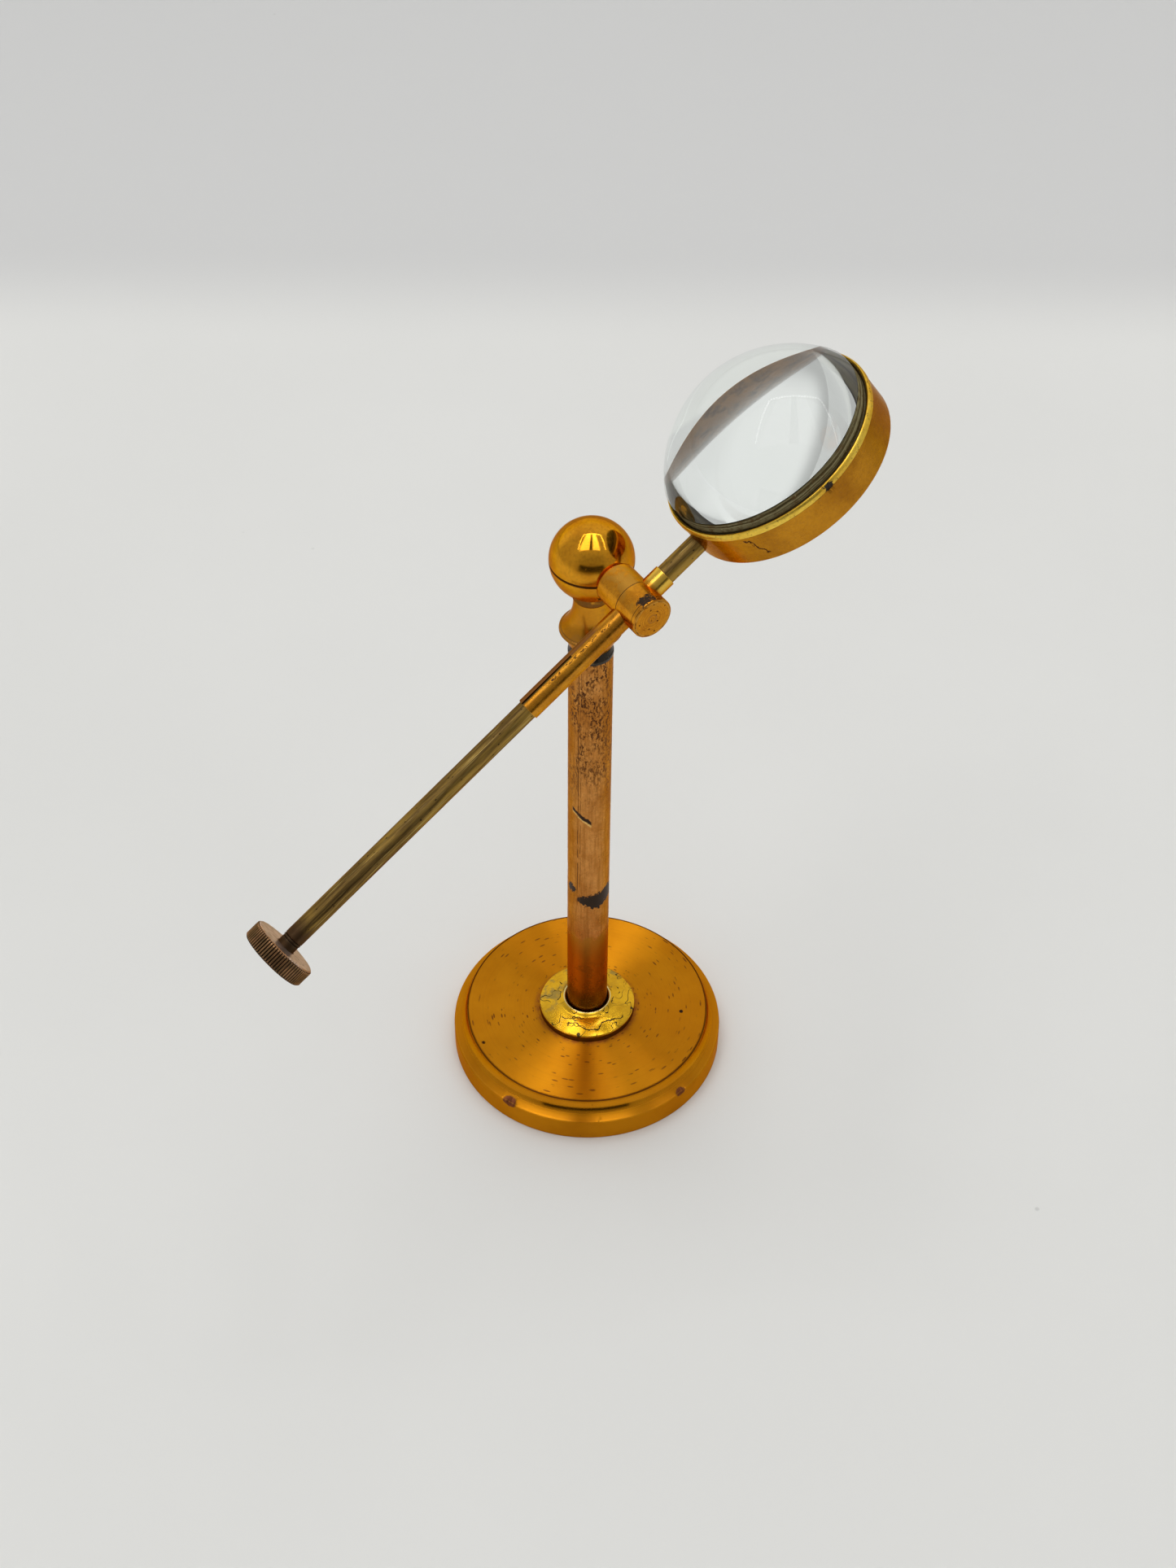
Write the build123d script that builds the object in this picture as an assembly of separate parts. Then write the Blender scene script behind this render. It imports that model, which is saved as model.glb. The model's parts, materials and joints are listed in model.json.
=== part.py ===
from build123d import *
import os

# A bull's-eye condenser: a thick plano-convex lens in a brass cell, on a rod that slides and turns
# in a split sleeve.  The sleeve is held in a crosshead that tilts on a ball, and the ball's column
# slides and turns in a tubular pillar on a turned base.
# Millimetres.  Origin: centre of the base's underside, +Z up the pillar.  The crosshead points
# along -Y, and the lens rod rises towards +X in a plane parallel to XZ.

# Base
BASE_R = 38.0
RIM_H = 6.9
PLATE_R = 34.2
PLATE_H = 12.0
RIM_ROUND = 0.5
WELL_R = 33.0
WELL_H = 8.5
PAD_R = 36.0
PAD_T = 1.2

# Collar at the pillar's foot
COLLAR_R = 13.5
COLLAR_EDGE_H = 2.2
COLLAR_LIP_R = 6.7
COLLAR_LIP_H = 4.9

# Pillar tube and what holds it down
TUBE_R = 5.65
TUBE_BORE_R = 4.9
TUBE_TOP = 149.0
PLUG_H = 12.0
STUD_R = 3.0
STUD_BOTTOM = 3.4
NUT_FLATS = 10.0
NUT_T = 4.0
NUT_ROOM_R = 7.5

# Guide ring at the pillar's mouth
RING_R = 5.75
RING_H = 2.5
RING_ROUND = 1.1
GUIDE_DEPTH = 6.0

# Column that slides and turns in the pillar
COLUMN_R = 3.6
COLUMN_SHOULDER = 66.0
TAIL_R = 2.2
TAIL_BOTTOM = 58.5
TAIL_SCREW_R = 1.2
TAIL_SCREW_HEAD_R = 3.8
TAIL_SCREW_HEAD_T = 2.0
TAIL_SCREW_DEPTH = 5.5
RUNNING_GAP = 0.05
END_GAP = 0.1

# Neck and ball
NECK_BOTTOM = 151.8
NECK_FOOT_R = 5.3
FLANGE_R = 7.95
FLANGE_H = 157.0
WAIST_R = 4.45
WAIST_H = 165.5
BEAD_R = 4.75
BEAD_H = 167.0
BALL_R = 10.4
BALL_H = 178.7
SEAM_DROP = 0.2
SEAM_GAP = 0.16
BALL_STUD_R = 1.8
BALL_STUD_LENGTH = 20.0
FLAT_Y = 9.7

# Pivot stem, held between the two halves of the ball (distances from the ball's centre)
STEM_R = 2.6
STEM_FLANGE_R = 4.2
STEM_START = 3.1
STEM_FLANGE_T = 1.6
STEM_END = 15.2
POCKET_START = 3.0
POCKET_END = 6.4
POCKET_R = 4.3
SPRING_T = 0.4

# Crosshead (distances from the ball's centre)
BARREL_R = 5.35
BARREL_START = 9.95
BARREL_SEAM = 18.15
DISC_START = 24.5
BARREL_END = 25.7
BARREL_ROUND = 0.45
ROD_Y = 19.0
SCREW_R = 0.7
SCREW_HEAD_R = 1.0
SCREW_HEAD_T = 1.0
SCREW_START = 13.0
SCREW_OFFSET = 4.2

# Split sleeve and lens rod (distances along the rod from the crosshead's axis)
ROD_RISE = 31.6
ROD_R = 2.5
SLEEVE_R = 2.9
SLEEVE_BORE_R = 2.53
SLEEVE_LOW = -35.7
SLEEVE_HIGH = 9.4
SLIT_LENGTH = 16.1
SLIT_WIDTH = 0.8
ROD_LOW = -113.2
ROD_TAIL_R = 1.4
SPIGOT_R = 1.3

# Knob and its washer
KNOB_FACE = -115.8
KNOB_T = 4.7
KNOB_R = 8.8
KNOB_NECK_R = 2.4
WASHER_R = 2.45
WASHER_T = 0.6
KNOB_EDGE = 0.35

# Lens and cell (heights along the lens's axis from the rod's axis)
LENS_REACH = 47.4
LENS_LEAN = 15.6
CELL_R = 27.4
CELL_BORE_R = 26.25
CELL_BACK = -3.1
CELL_FRONT = 5.6
SHOULDER_R = 25.2
SHOULDER_GAP = 0.05
BEZEL_R = 27.65
BEZEL_TOP = 7.4
BEZEL_BEVEL_R = 26.75
BEZEL_THROAT_R = 26.28
BEZEL_THROAT_H = 6.8
BEZEL_BORE_R = 26.25
BEZEL_ROUND = 0.5
GLASS_R = 26.2
GLASS_BACK = 4.3
DOME_R = 30.0
DOME_CENTRE = -4.36

LONG = 200.0
BOTTOM = (Align.CENTER, Align.CENTER, Align.MIN)

OUTWARD = Rot(X=90)
ARM = Pos(0, -ROD_Y, BALL_H) * Rot(Y=90 - ROD_RISE)
LENS = ARM * Pos(0, 0, LENS_REACH) * Rot(Z=-LENS_LEAN) * Rot(Y=-90)


def rod(radius, start, end):
    """A round bar along Z from one height to another."""
    return Pos(0, 0, start) * Cylinder(radius, end - start, align=BOTTOM)


def ring(radius, bore, start, end):
    """A plain ring along Z."""
    return rod(radius, start, end) - rod(bore, start, end)


def turned(*edges):
    """A solid turned about Z from a closed outline in (radius, height)."""
    return revolve(Plane.XZ * make_face(edges), Axis.Z)


def rounded_rod(radius, start, end, edge):
    """A round bar whose far end has a rounded edge."""
    bar = rod(radius, start, end)
    return fillet(bar.edges().sort_by(Axis.Z)[-1], edge)


# Stand

def base_disc():
    outline = [
        Polyline((0, WELL_H), (WELL_R, WELL_H), (WELL_R, PAD_T), (PAD_R, PAD_T), (PAD_R, 0),
                 (BASE_R, 0), (BASE_R, RIM_H - RIM_ROUND)),
        TangentArc((BASE_R, RIM_H - RIM_ROUND), (BASE_R - RIM_ROUND, RIM_H), tangent=(0, 1)),
        TangentArc((PLATE_R, PLATE_H - RIM_ROUND), (BASE_R - RIM_ROUND, RIM_H), tangent=(0, -1)),
        Polyline((PLATE_R, PLATE_H - RIM_ROUND), (PLATE_R, PLATE_H), (0, PLATE_H), (0, WELL_H)),
    ]
    return turned(*outline) - rod(STUD_R, 0, PLATE_H)


def base_weight():
    return ring(WELL_R, NUT_ROOM_R, PAD_T, WELL_H)


def base_pad():
    return rod(PAD_R, 0, PAD_T)


def pillar_collar():
    edge_top = PLATE_H + COLLAR_EDGE_H
    lip_top = PLATE_H + COLLAR_LIP_H
    bore = TUBE_R + RUNNING_GAP
    throat = TUBE_R + 0.3
    throat_floor = edge_top - COLLAR_EDGE_H / 2
    edge = 0.3
    shoulder_r = COLLAR_LIP_R + 0.9
    shoulder_h = lip_top - 0.8
    outline = [
        Polyline((bore, PLATE_H), (COLLAR_R, PLATE_H), (COLLAR_R, edge_top - edge)),
        TangentArc((COLLAR_R, edge_top - edge), (COLLAR_R - edge, edge_top), tangent=(0, 1)),
        SagittaArc((COLLAR_R - edge, edge_top), (shoulder_r, shoulder_h), -0.25),
        Line((shoulder_r, shoulder_h), (COLLAR_LIP_R, lip_top - edge)),
        SagittaArc((COLLAR_LIP_R, lip_top - edge), (throat, lip_top - edge), edge),
        Polyline((throat, lip_top - edge), (throat, throat_floor), (bore, throat_floor), (bore, PLATE_H)),
    ]
    return turned(*outline)


def pillar_tube():
    return ring(TUBE_R, TUBE_BORE_R, PLATE_H, TUBE_TOP)


def foot_stud():
    plug = rod(TUBE_BORE_R, PLATE_H, PLATE_H + PLUG_H)
    return plug + rod(STUD_R, STUD_BOTTOM, PLATE_H)


def foot_nut():
    nut_bottom = WELL_H - NUT_T
    body = extrude(RegularPolygon(NUT_FLATS / 2, 6, major_radius=False), NUT_T)
    return Pos(0, 0, nut_bottom) * body - rod(STUD_R, nut_bottom, WELL_H)


def mouth_ring():
    rim = rounded_rod(RING_R, TUBE_TOP, TUBE_TOP + RING_H, RING_ROUND)
    guide = rod(TUBE_BORE_R, TUBE_TOP - GUIDE_DEPTH, TUBE_TOP)
    return rim + guide - rod(COLUMN_R + RUNNING_GAP, 0, LONG)


# Column

def column_packing():
    start = TAIL_BOTTOM + END_GAP
    end = COLUMN_SHOULDER - END_GAP
    return ring(TUBE_BORE_R - RUNNING_GAP, TAIL_R + RUNNING_GAP, start, end)


def column_rod():
    shaft = rod(COLUMN_R, COLUMN_SHOULDER, WAIST_H)
    tail = rod(TAIL_R, TAIL_BOTTOM, COLUMN_SHOULDER)
    return shaft + tail - rod(TAIL_SCREW_R, TAIL_BOTTOM, TAIL_BOTTOM + TAIL_SCREW_DEPTH)


def column_tail_screw():
    head = rod(TAIL_SCREW_HEAD_R, TAIL_BOTTOM - TAIL_SCREW_HEAD_T, TAIL_BOTTOM)
    slot = Box(2 * TAIL_SCREW_HEAD_R, 0.8, 1.2)
    shank = rod(TAIL_SCREW_R, TAIL_BOTTOM, TAIL_BOTTOM + TAIL_SCREW_DEPTH)
    return head + shank - Pos(0, 0, TAIL_BOTTOM - TAIL_SCREW_HEAD_T) * slot


def ball_hollow():
    """The journal and flange pocket for the stem, and the stud's hole, cut in both halves."""
    journal = OUTWARD * rod(STEM_R + RUNNING_GAP, POCKET_START, BALL_R + 1)
    pocket = OUTWARD * rod(POCKET_R, POCKET_START, POCKET_END)
    flat = OUTWARD * rod(BALL_R, FLAT_Y, BALL_R + 1)
    return Pos(0, 0, BALL_H) * (journal + pocket + flat) + ball_stud()


def ball_half(side):
    """Half of the ball above (side 1) or below (side -1) the seam."""
    face = BALL_H - SEAM_DROP + side * SEAM_GAP / 2
    block = Pos(0, 0, face + side * BALL_R) * Box(3 * BALL_R, 3 * BALL_R, 2 * BALL_R)
    return Pos(0, 0, BALL_H) * Sphere(BALL_R) & block


def neck_and_cup():
    lip = 0.45
    inside_h = BALL_H - BALL_R + 4
    outline = [
        Polyline((COLUMN_R, NECK_BOTTOM), (NECK_FOOT_R, NECK_BOTTOM), (FLANGE_R - lip, FLANGE_H - lip)),
        TangentArc((FLANGE_R - lip, FLANGE_H - lip), (FLANGE_R - lip, FLANGE_H + lip), tangent=(1, 0.9)),
        TangentArc((WAIST_R, WAIST_H), (FLANGE_R - lip, FLANGE_H + lip), tangent=(0, -1)),
        Polyline((WAIST_R, WAIST_H), (WAIST_R, BEAD_H), (BEAD_R, BEAD_H), (BEAD_R, inside_h),
                 (0, inside_h), (0, WAIST_H), (COLUMN_R, WAIST_H), (COLUMN_R, NECK_BOTTOM)),
    ]
    return turned(*outline) + ball_half(-1) - ball_hollow()


def ball_cap():
    return ball_half(1) - ball_hollow()


def ball_stud():
    start = BALL_H - BALL_STUD_LENGTH / 2 - 2.0
    return rod(BALL_STUD_R, start, start + BALL_STUD_LENGTH)


# Crosshead

def outward(solid):
    """Turn a piece made along +Z from the ball's centre to point along -Y."""
    return Pos(0, 0, BALL_H) * OUTWARD * solid


def sleeve_room():
    return ARM * rod(SLEEVE_R, -LONG / 2, LONG / 2)


def pivot_stem():
    flange = rod(STEM_FLANGE_R, STEM_START, STEM_START + STEM_FLANGE_T)
    return outward(flange + rod(STEM_R, STEM_START, STEM_END))


def pivot_spring_washer():
    start = STEM_START + STEM_FLANGE_T
    end = POCKET_END - END_GAP
    inner = STEM_R + RUNNING_GAP
    outer = STEM_FLANGE_R - 0.1
    outline = Polyline((outer, start), (outer, start + SPRING_T), (inner, end), (inner, end - SPRING_T),
                       close=True)
    return outward(turned(outline))


def screw_bar(radius, start, end):
    """The same bar beside the sleeve on each side, square to the rod."""
    bars = [Pos(side * SCREW_OFFSET, 0, 0) * rod(radius, start, end) for side in (-1, 1)]
    return Pos(0, 0, BALL_H) * Rot(Y=90 - ROD_RISE) * OUTWARD * (bars[0] + bars[1])


def crosshead_screws():
    shanks = screw_bar(SCREW_R, SCREW_START, DISC_START)
    return shanks + screw_bar(SCREW_HEAD_R, DISC_START - SCREW_HEAD_T, DISC_START)


def crosshead_inner_barrel():
    barrel = rod(BARREL_R, BARREL_START, BARREL_SEAM)
    barrel = fillet(barrel.edges().sort_by(Axis.Z)[0], BARREL_ROUND)
    bored = outward(barrel - rod(STEM_R, BARREL_START, STEM_END))
    return bored - sleeve_room() - crosshead_screws()


def crosshead_outer_barrel():
    barrel = outward(rod(BARREL_R, BARREL_SEAM, DISC_START))
    return barrel - sleeve_room() - crosshead_screws()


def crosshead_end_disc():
    return outward(rounded_rod(BARREL_R, DISC_START, BARREL_END, BARREL_ROUND))


def spring_sleeve():
    tube = ring(SLEEVE_R, SLEEVE_BORE_R, SLEEVE_LOW, SLEEVE_HIGH)
    slit = Pos(0, 0, SLEEVE_LOW) * Box(3 * SLEEVE_R, SLIT_WIDTH, 2 * SLIT_LENGTH)
    return ARM * (tube - slit)


# Lens arm

def knob_washer():
    end = ROD_LOW - END_GAP
    return ARM * ring(WASHER_R, ROD_TAIL_R + RUNNING_GAP, end - WASHER_T, end)


def lens_rod():
    shaft = ARM * rod(ROD_R, ROD_LOW, LENS_REACH / 2)
    tail = ARM * rod(ROD_TAIL_R, KNOB_FACE - KNOB_T + 1, ROD_LOW)
    spigot = ARM * rod(SPIGOT_R, 0, LENS_REACH - SHOULDER_R)
    cell_outside = LENS * rod(CELL_R, -ROD_R - 1, ROD_R + 1)
    return shaft - cell_outside + tail + spigot


def knob():
    neck_end = ROD_LOW - 2 * END_GAP - WASHER_T
    disc = rod(KNOB_R, KNOB_FACE - KNOB_T, KNOB_FACE)
    disc = chamfer(disc.edges(), KNOB_EDGE)
    neck = rod(KNOB_NECK_R, KNOB_FACE, neck_end)
    return ARM * (disc + neck - rod(ROD_TAIL_R, KNOB_FACE - KNOB_T + 1, neck_end))


def lens_cell():
    band = ring(CELL_R, CELL_BORE_R, CELL_BACK, CELL_FRONT)
    shoulder = ring(CELL_BORE_R, SHOULDER_R, CELL_BACK, GLASS_BACK - SHOULDER_GAP)
    return LENS * (band + shoulder) - ARM * rod(SPIGOT_R, 0, LENS_REACH)


def lens_bezel():
    outline = [
        Polyline((BEZEL_BORE_R, CELL_FRONT), (BEZEL_R, CELL_FRONT), (BEZEL_R, BEZEL_TOP - BEZEL_ROUND)),
        TangentArc((BEZEL_R, BEZEL_TOP - BEZEL_ROUND), (BEZEL_R - BEZEL_ROUND, BEZEL_TOP), tangent=(0, 1)),
        Polyline((BEZEL_R - BEZEL_ROUND, BEZEL_TOP), (BEZEL_BEVEL_R, BEZEL_TOP),
                 (BEZEL_THROAT_R, BEZEL_THROAT_H), (BEZEL_BORE_R, CELL_FRONT)),
    ]
    return LENS * turned(*outline)


def lens():
    dome = Pos(0, 0, DOME_CENTRE) * Sphere(DOME_R)
    return LENS * (dome & rod(GLASS_R, GLASS_BACK, DOME_CENTRE + DOME_R + 1))


NODES = {
    "base_disc": base_disc,
    "base_weight": base_weight,
    "base_pad": base_pad,
    "pillar_collar": pillar_collar,
    "pillar_tube": pillar_tube,
    "foot_stud": foot_stud,
    "foot_nut": foot_nut,
    "mouth_ring": mouth_ring,
    "column_packing": column_packing,
    "column_rod": column_rod,
    "column_tail_screw": column_tail_screw,
    "neck_and_cup": neck_and_cup,
    "ball_cap": ball_cap,
    "ball_stud": ball_stud,
    "pivot_stem": pivot_stem,
    "pivot_spring_washer": pivot_spring_washer,
    "crosshead_inner_barrel": crosshead_inner_barrel,
    "crosshead_outer_barrel": crosshead_outer_barrel,
    "crosshead_end_disc": crosshead_end_disc,
    "crosshead_screws": crosshead_screws,
    "spring_sleeve": spring_sleeve,
    "knob_washer": knob_washer,
    "lens_rod": lens_rod,
    "knob": knob,
    "lens_cell": lens_cell,
    "lens_bezel": lens_bezel,
    "lens": lens,
}

os.makedirs("parts", exist_ok=True)
for name, make in NODES.items():
    export_step(make(), f"parts/{name}.step")
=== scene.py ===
import json
import math

import bmesh
import bpy
import numpy as np
from mathutils import Matrix, Vector

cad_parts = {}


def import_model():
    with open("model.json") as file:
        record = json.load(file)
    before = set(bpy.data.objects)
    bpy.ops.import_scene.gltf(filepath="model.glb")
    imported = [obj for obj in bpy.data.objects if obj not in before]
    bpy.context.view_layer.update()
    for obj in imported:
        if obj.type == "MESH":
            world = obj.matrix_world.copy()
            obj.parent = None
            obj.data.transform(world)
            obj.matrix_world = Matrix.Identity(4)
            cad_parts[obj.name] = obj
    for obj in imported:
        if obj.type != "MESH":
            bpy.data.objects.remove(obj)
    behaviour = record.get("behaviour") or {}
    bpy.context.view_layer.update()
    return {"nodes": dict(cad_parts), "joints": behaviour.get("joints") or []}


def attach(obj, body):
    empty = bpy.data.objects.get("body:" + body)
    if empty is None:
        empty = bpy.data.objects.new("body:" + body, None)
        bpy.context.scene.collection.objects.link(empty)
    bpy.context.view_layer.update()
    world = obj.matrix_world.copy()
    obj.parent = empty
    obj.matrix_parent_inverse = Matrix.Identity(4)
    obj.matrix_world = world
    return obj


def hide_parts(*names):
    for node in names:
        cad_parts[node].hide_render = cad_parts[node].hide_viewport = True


# A bull's-eye condenser lens on its stand.  Metres throughout, in the CAD frame: +Z up the pillar,
# the crosshead points along -Y, and the lens rod rises towards +X.

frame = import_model()
NODES = frame["nodes"]
JOINTS = {j["name"]: j for j in frame["joints"]}

MM = 0.001
LENS_LEAN = math.radians(15.6)
LENS_REACH = 0.0474
INSIDE = 0.000035  # keeps the finer curves of the visual pieces inside the CAD's box
BALL_R, STEM_R = 0.0104, 0.0026
EDGE_REACH = 0.0015  # how far the mark of an edge reaches from it
CHIP_REACH = 0.0011  # how far a chip reaches from its middle, along the profile
CHIP_AT = -88.0  # where the cell and its bezel are chipped, in degrees round the lens

# ---------------- frames


def axes(origin, z, x):
    """A frame whose local Z is the axis of a turned piece."""
    z = Vector(z).normalized()
    x = Vector(x)
    x = (x - x.dot(z) * z).normalized()
    y = z.cross(x)
    return Matrix.Translation(Vector(origin)) @ Matrix((x, y, z)).transposed().to_4x4()


def rod_frames():
    """The rod's frame: Z along the rod, X up and square to it, Y towards the crosshead's face.
    The lens's frame: Z along the lens's axis, X along the rod."""
    joint = JOINTS["rod_turn"]
    at, along = Vector(joint["pos_m"]), Vector(joint["axis"])
    upward = Vector((-along.z, 0, along.x))
    leaning = math.cos(LENS_LEAN) * upward + math.sin(LENS_LEAN) * Vector((0, 1, 0))
    return axes(at, along, upward), axes(at + LENS_REACH * along, leaning, along)


STAND = Matrix.Identity(4)
BALL = Matrix.Translation(Vector(JOINTS["arm_tilt"]["pos_m"]))
CROSS = axes(JOINTS["arm_tilt"]["pos_m"], JOINTS["arm_tilt"]["axis"], (1, 0, 0))
ROD, LENS = rod_frames()


def extent(node, place=STAND):
    """Lowest and highest point along the frame's axis, and smallest and largest radius, of a CAD node."""
    co = np.array([v.co for v in NODES[node].data.vertices])
    inverse = np.array(place.inverted())
    local = co @ inverse[:3, :3].T + inverse[:3, 3]
    radius = np.hypot(local[:, 0], local[:, 1])
    return local[:, 2].min(), local[:, 2].max(), radius.min(), radius.max()


# ---------------- turned shapes


def bowed(p, q, bow, step):
    """Points from p to q along an arc whose middle stands bow to the left of the chord."""
    p, q = np.array(p), np.array(q)
    chord = np.linalg.norm(q - p)
    if abs(bow) < 1e-9:
        return [p, q]
    radius = (chord**2 / 4 + bow**2) / (2 * abs(bow))
    half = math.asin(min(1, chord / 2 / radius))
    if abs(bow) > chord / 2:
        half = math.pi - half
    along = (q - p) / chord
    left = np.array([-along[1], along[0]]) * math.copysign(1, bow)
    centre = (p + q) / 2 + left * (abs(bow) - radius)
    count = max(6, int(2 * half * radius / step) + 1)
    turns = np.linspace(-half, half, count + 1)
    return [centre + radius * (math.sin(t) * along + math.cos(t) * left) for t in turns]


def walk(points, start, distance):
    """The place a distance along points from index start, and the index reached."""
    step = 1 if distance > 0 else -1
    left = abs(distance)
    i = start
    while 0 <= i + step < len(points):
        length = np.linalg.norm(points[i + step] - points[i])
        if length >= left:
            return points[i] + (points[i + step] - points[i]) * (left / length), i
        left -= length
        i += step
    return points[i], i


def outline(*stops, step=0.0012, loop=True):
    """A profile from stops (r, z, edge radius, bow to the next stop).  Gives (r, z) points and a
    mark for each, from 1 on an edge to 0 at EDGE_REACH."""
    stops = [tuple(s) + (0.0,) * (4 - len(s)) for s in stops]
    turn = stops + [stops[0]] if loop else stops
    points, corners = [], []
    for a, b in zip(turn, turn[1:]):
        run = bowed(a[:2], b[:2], a[3], step)
        corners.append((len(points), a[2]))
        points += run[:-1]
    if not loop:
        points.append(np.array(stops[-1][:2]))
    count = len(points)
    if loop:
        points = points + points + points
    shift = count if loop else 0
    rounded = [(i + shift, *walk(points, i + shift, -r), *walk(points, i + shift, r))
               for i, r in corners if r > 0]
    i, stop, made = shift, shift + count, []
    if loop and rounded and rounded[0][0] == shift:
        # The first point is a corner: its curve comes last, a whole turn on
        here, before, back, after, on = rounded.pop(0)
        rounded.append((here + count, before, back + count, after, on + count))
        made, i = [after], on + 1
    while i < stop or rounded:
        if rounded and i >= rounded[0][2]:
            here, before, _, after, on = rounded.pop(0)
            made += bend(before, points[here], after)
            i = on + 1
        elif i < stop:
            made.append(points[i])
            i += 1
        else:
            break
    made = refine(tidy(made, loop), step, loop)
    sharp = [np.array(s[:2]) for s in stops if s[0] > 1e-7]
    close = [max(0.0, 1 - min(np.linalg.norm(p - c) for c in sharp) / EDGE_REACH) for p in made]
    return np.array(made), np.array(close), loop


def bend(a, corner, b, count=5):
    """A rounded corner."""
    t = np.linspace(0, 1, count + 1)
    return [(1 - s) ** 2 * a + 2 * s * (1 - s) * corner + s * s * b for s in t]


def tidy(points, loop):
    """Drops points that lie on the one before."""
    kept = [points[0]]
    for p in points[1:]:
        if np.linalg.norm(p - kept[-1]) > 2e-6:
            kept.append(p)
    if loop and np.linalg.norm(kept[0] - kept[-1]) < 2e-6:
        kept.pop()
    return kept


def refine(points, step, loop):
    """Splits long runs, with a short step at each end so that shading stays flat."""
    made = []
    chain = points + [points[0]] if loop else points
    for a, b in zip(chain, chain[1:]):
        made.append(a)
        length = np.linalg.norm(b - a)
        if length > step * 1.5:
            near = min(0.00015, length / 4)
            made.append(a + (b - a) * (near / length))
            inner = max(1, int((length - 2 * near) / step))
            for k in range(1, inner):
                made.append(a + (b - a) * ((near + (length - 2 * near) * k / inner) / length))
            made.append(b - (b - a) * (near / length))
    if not loop:
        made.append(chain[-1])
    return made


def spread(count, *dense):
    """Angles round a turned piece, with more of them round places (degrees, half width, step)."""
    base = np.arange(count) * 360.0 / count
    for middle, half, step in dense:
        middle %= 360
        away = np.abs((base - middle + 180) % 360 - 180)
        base = base[away > half]
        base = np.concatenate([base, (middle + np.arange(-half, half + step / 2, step)) % 360])
    return np.radians(np.unique(np.round(base, 4)))


def linked(name, data):
    obj = bpy.data.objects.new(name, data)
    bpy.context.scene.collection.objects.link(obj)
    return obj


def lathe(name, place, profile, angles=192, shape=None):
    """A solid of revolution about the frame's Z.  shape(r, a, z) may move its points."""
    points, close, loop = profile
    if isinstance(angles, int):
        angles = spread(angles)
    n = len(angles)
    verts, marks, index = [], [], []
    for (r, z), edge in zip(points, close):
        if r < 1e-7:
            index.append([len(verts)])
            verts.append((0.0, 0.0, z))
            marks.append(edge)
            continue
        rr, zz = np.full(n, r), np.full(n, z)
        if shape:
            rr, zz = shape(rr, angles, zz)
        index.append(list(range(len(verts), len(verts) + n)))
        verts += list(zip(rr * np.cos(angles), rr * np.sin(angles), zz))
        marks += [edge] * n
    faces = []
    pairs = list(zip(index, index[1:]))
    if loop:
        pairs.append((index[-1], index[0]))
    for low, high in pairs:
        for k in range(n):
            j = (k + 1) % n
            if len(low) == 1 and len(high) == 1:
                break
            if len(low) == 1:
                faces.append((low[0], high[j], high[k]))
            elif len(high) == 1:
                faces.append((low[k], low[j], high[0]))
            else:
                faces.append((low[k], low[j], high[j], high[k]))
    to_world = np.array(place)
    verts = np.array(verts) @ to_world[:3, :3].T + to_world[:3, 3]
    mesh = bpy.data.meshes.new(name)
    mesh.from_pydata(verts.tolist(), [], faces)
    attribute = mesh.attributes.new("edge", "FLOAT", "POINT")
    attribute.data.foreach_set("value", np.array(marks, np.float32))
    reworked(mesh, lambda bm: bmesh.ops.recalc_face_normals(bm, faces=bm.faces))
    shade(mesh)
    return linked(name, mesh)


def reworked(mesh, change):
    """The mesh, after change() has been at work on it."""
    bm = bmesh.new()
    bm.from_mesh(mesh)
    change(bm)
    bm.to_mesh(mesh)
    bm.free()
    return mesh


def shade(mesh, angle=32):
    mesh.polygons.foreach_set("use_smooth", [True] * len(mesh.polygons))
    mesh.set_sharp_from_angle(angle=math.radians(angle))
    mesh.update()


def cut(obj, *cutters):
    """Cuts solids out of a piece, and removes the cutters.  The solver needs the sizes in millimetres."""
    obj.data.transform(Matrix.Scale(1 / MM, 4))
    for cutter in cutters:
        cutter.data.transform(Matrix.Scale(1 / MM, 4))
        m = obj.modifiers.new("cut", "BOOLEAN")
        m.operation = "DIFFERENCE"
        m.solver = "MANIFOLD"
        m.object = cutter
    bpy.context.view_layer.update()
    graph = bpy.context.evaluated_depsgraph_get()
    mesh = bpy.data.meshes.new_from_object(obj.evaluated_get(graph), depsgraph=graph)
    obj.modifiers.clear()
    obj.data = mesh
    mesh.name = obj.name
    mesh.transform(Matrix.Scale(MM, 4))
    for cutter in cutters:
        bpy.data.objects.remove(cutter)
    shade(mesh)
    return obj


def bar(name, place, radius, low, high, sides=96):
    """A plain round cutter."""
    return lathe(name, place, outline((0, low), (radius, low), (radius, high), (0, high), loop=False), sides)


def copy_of(node):
    """A CAD node's mesh as a closed cutter."""
    mesh = NODES[node].data.copy()
    reworked(mesh, lambda bm: bmesh.ops.remove_doubles(bm, verts=bm.verts, dist=1e-7))
    return linked("cutter_" + node, mesh)


# ---------------- materials


EDGE_TINT = (0.72, 0.46, 0.22, 1.0)  # the metals stay warm where they are seen edge on


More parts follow.
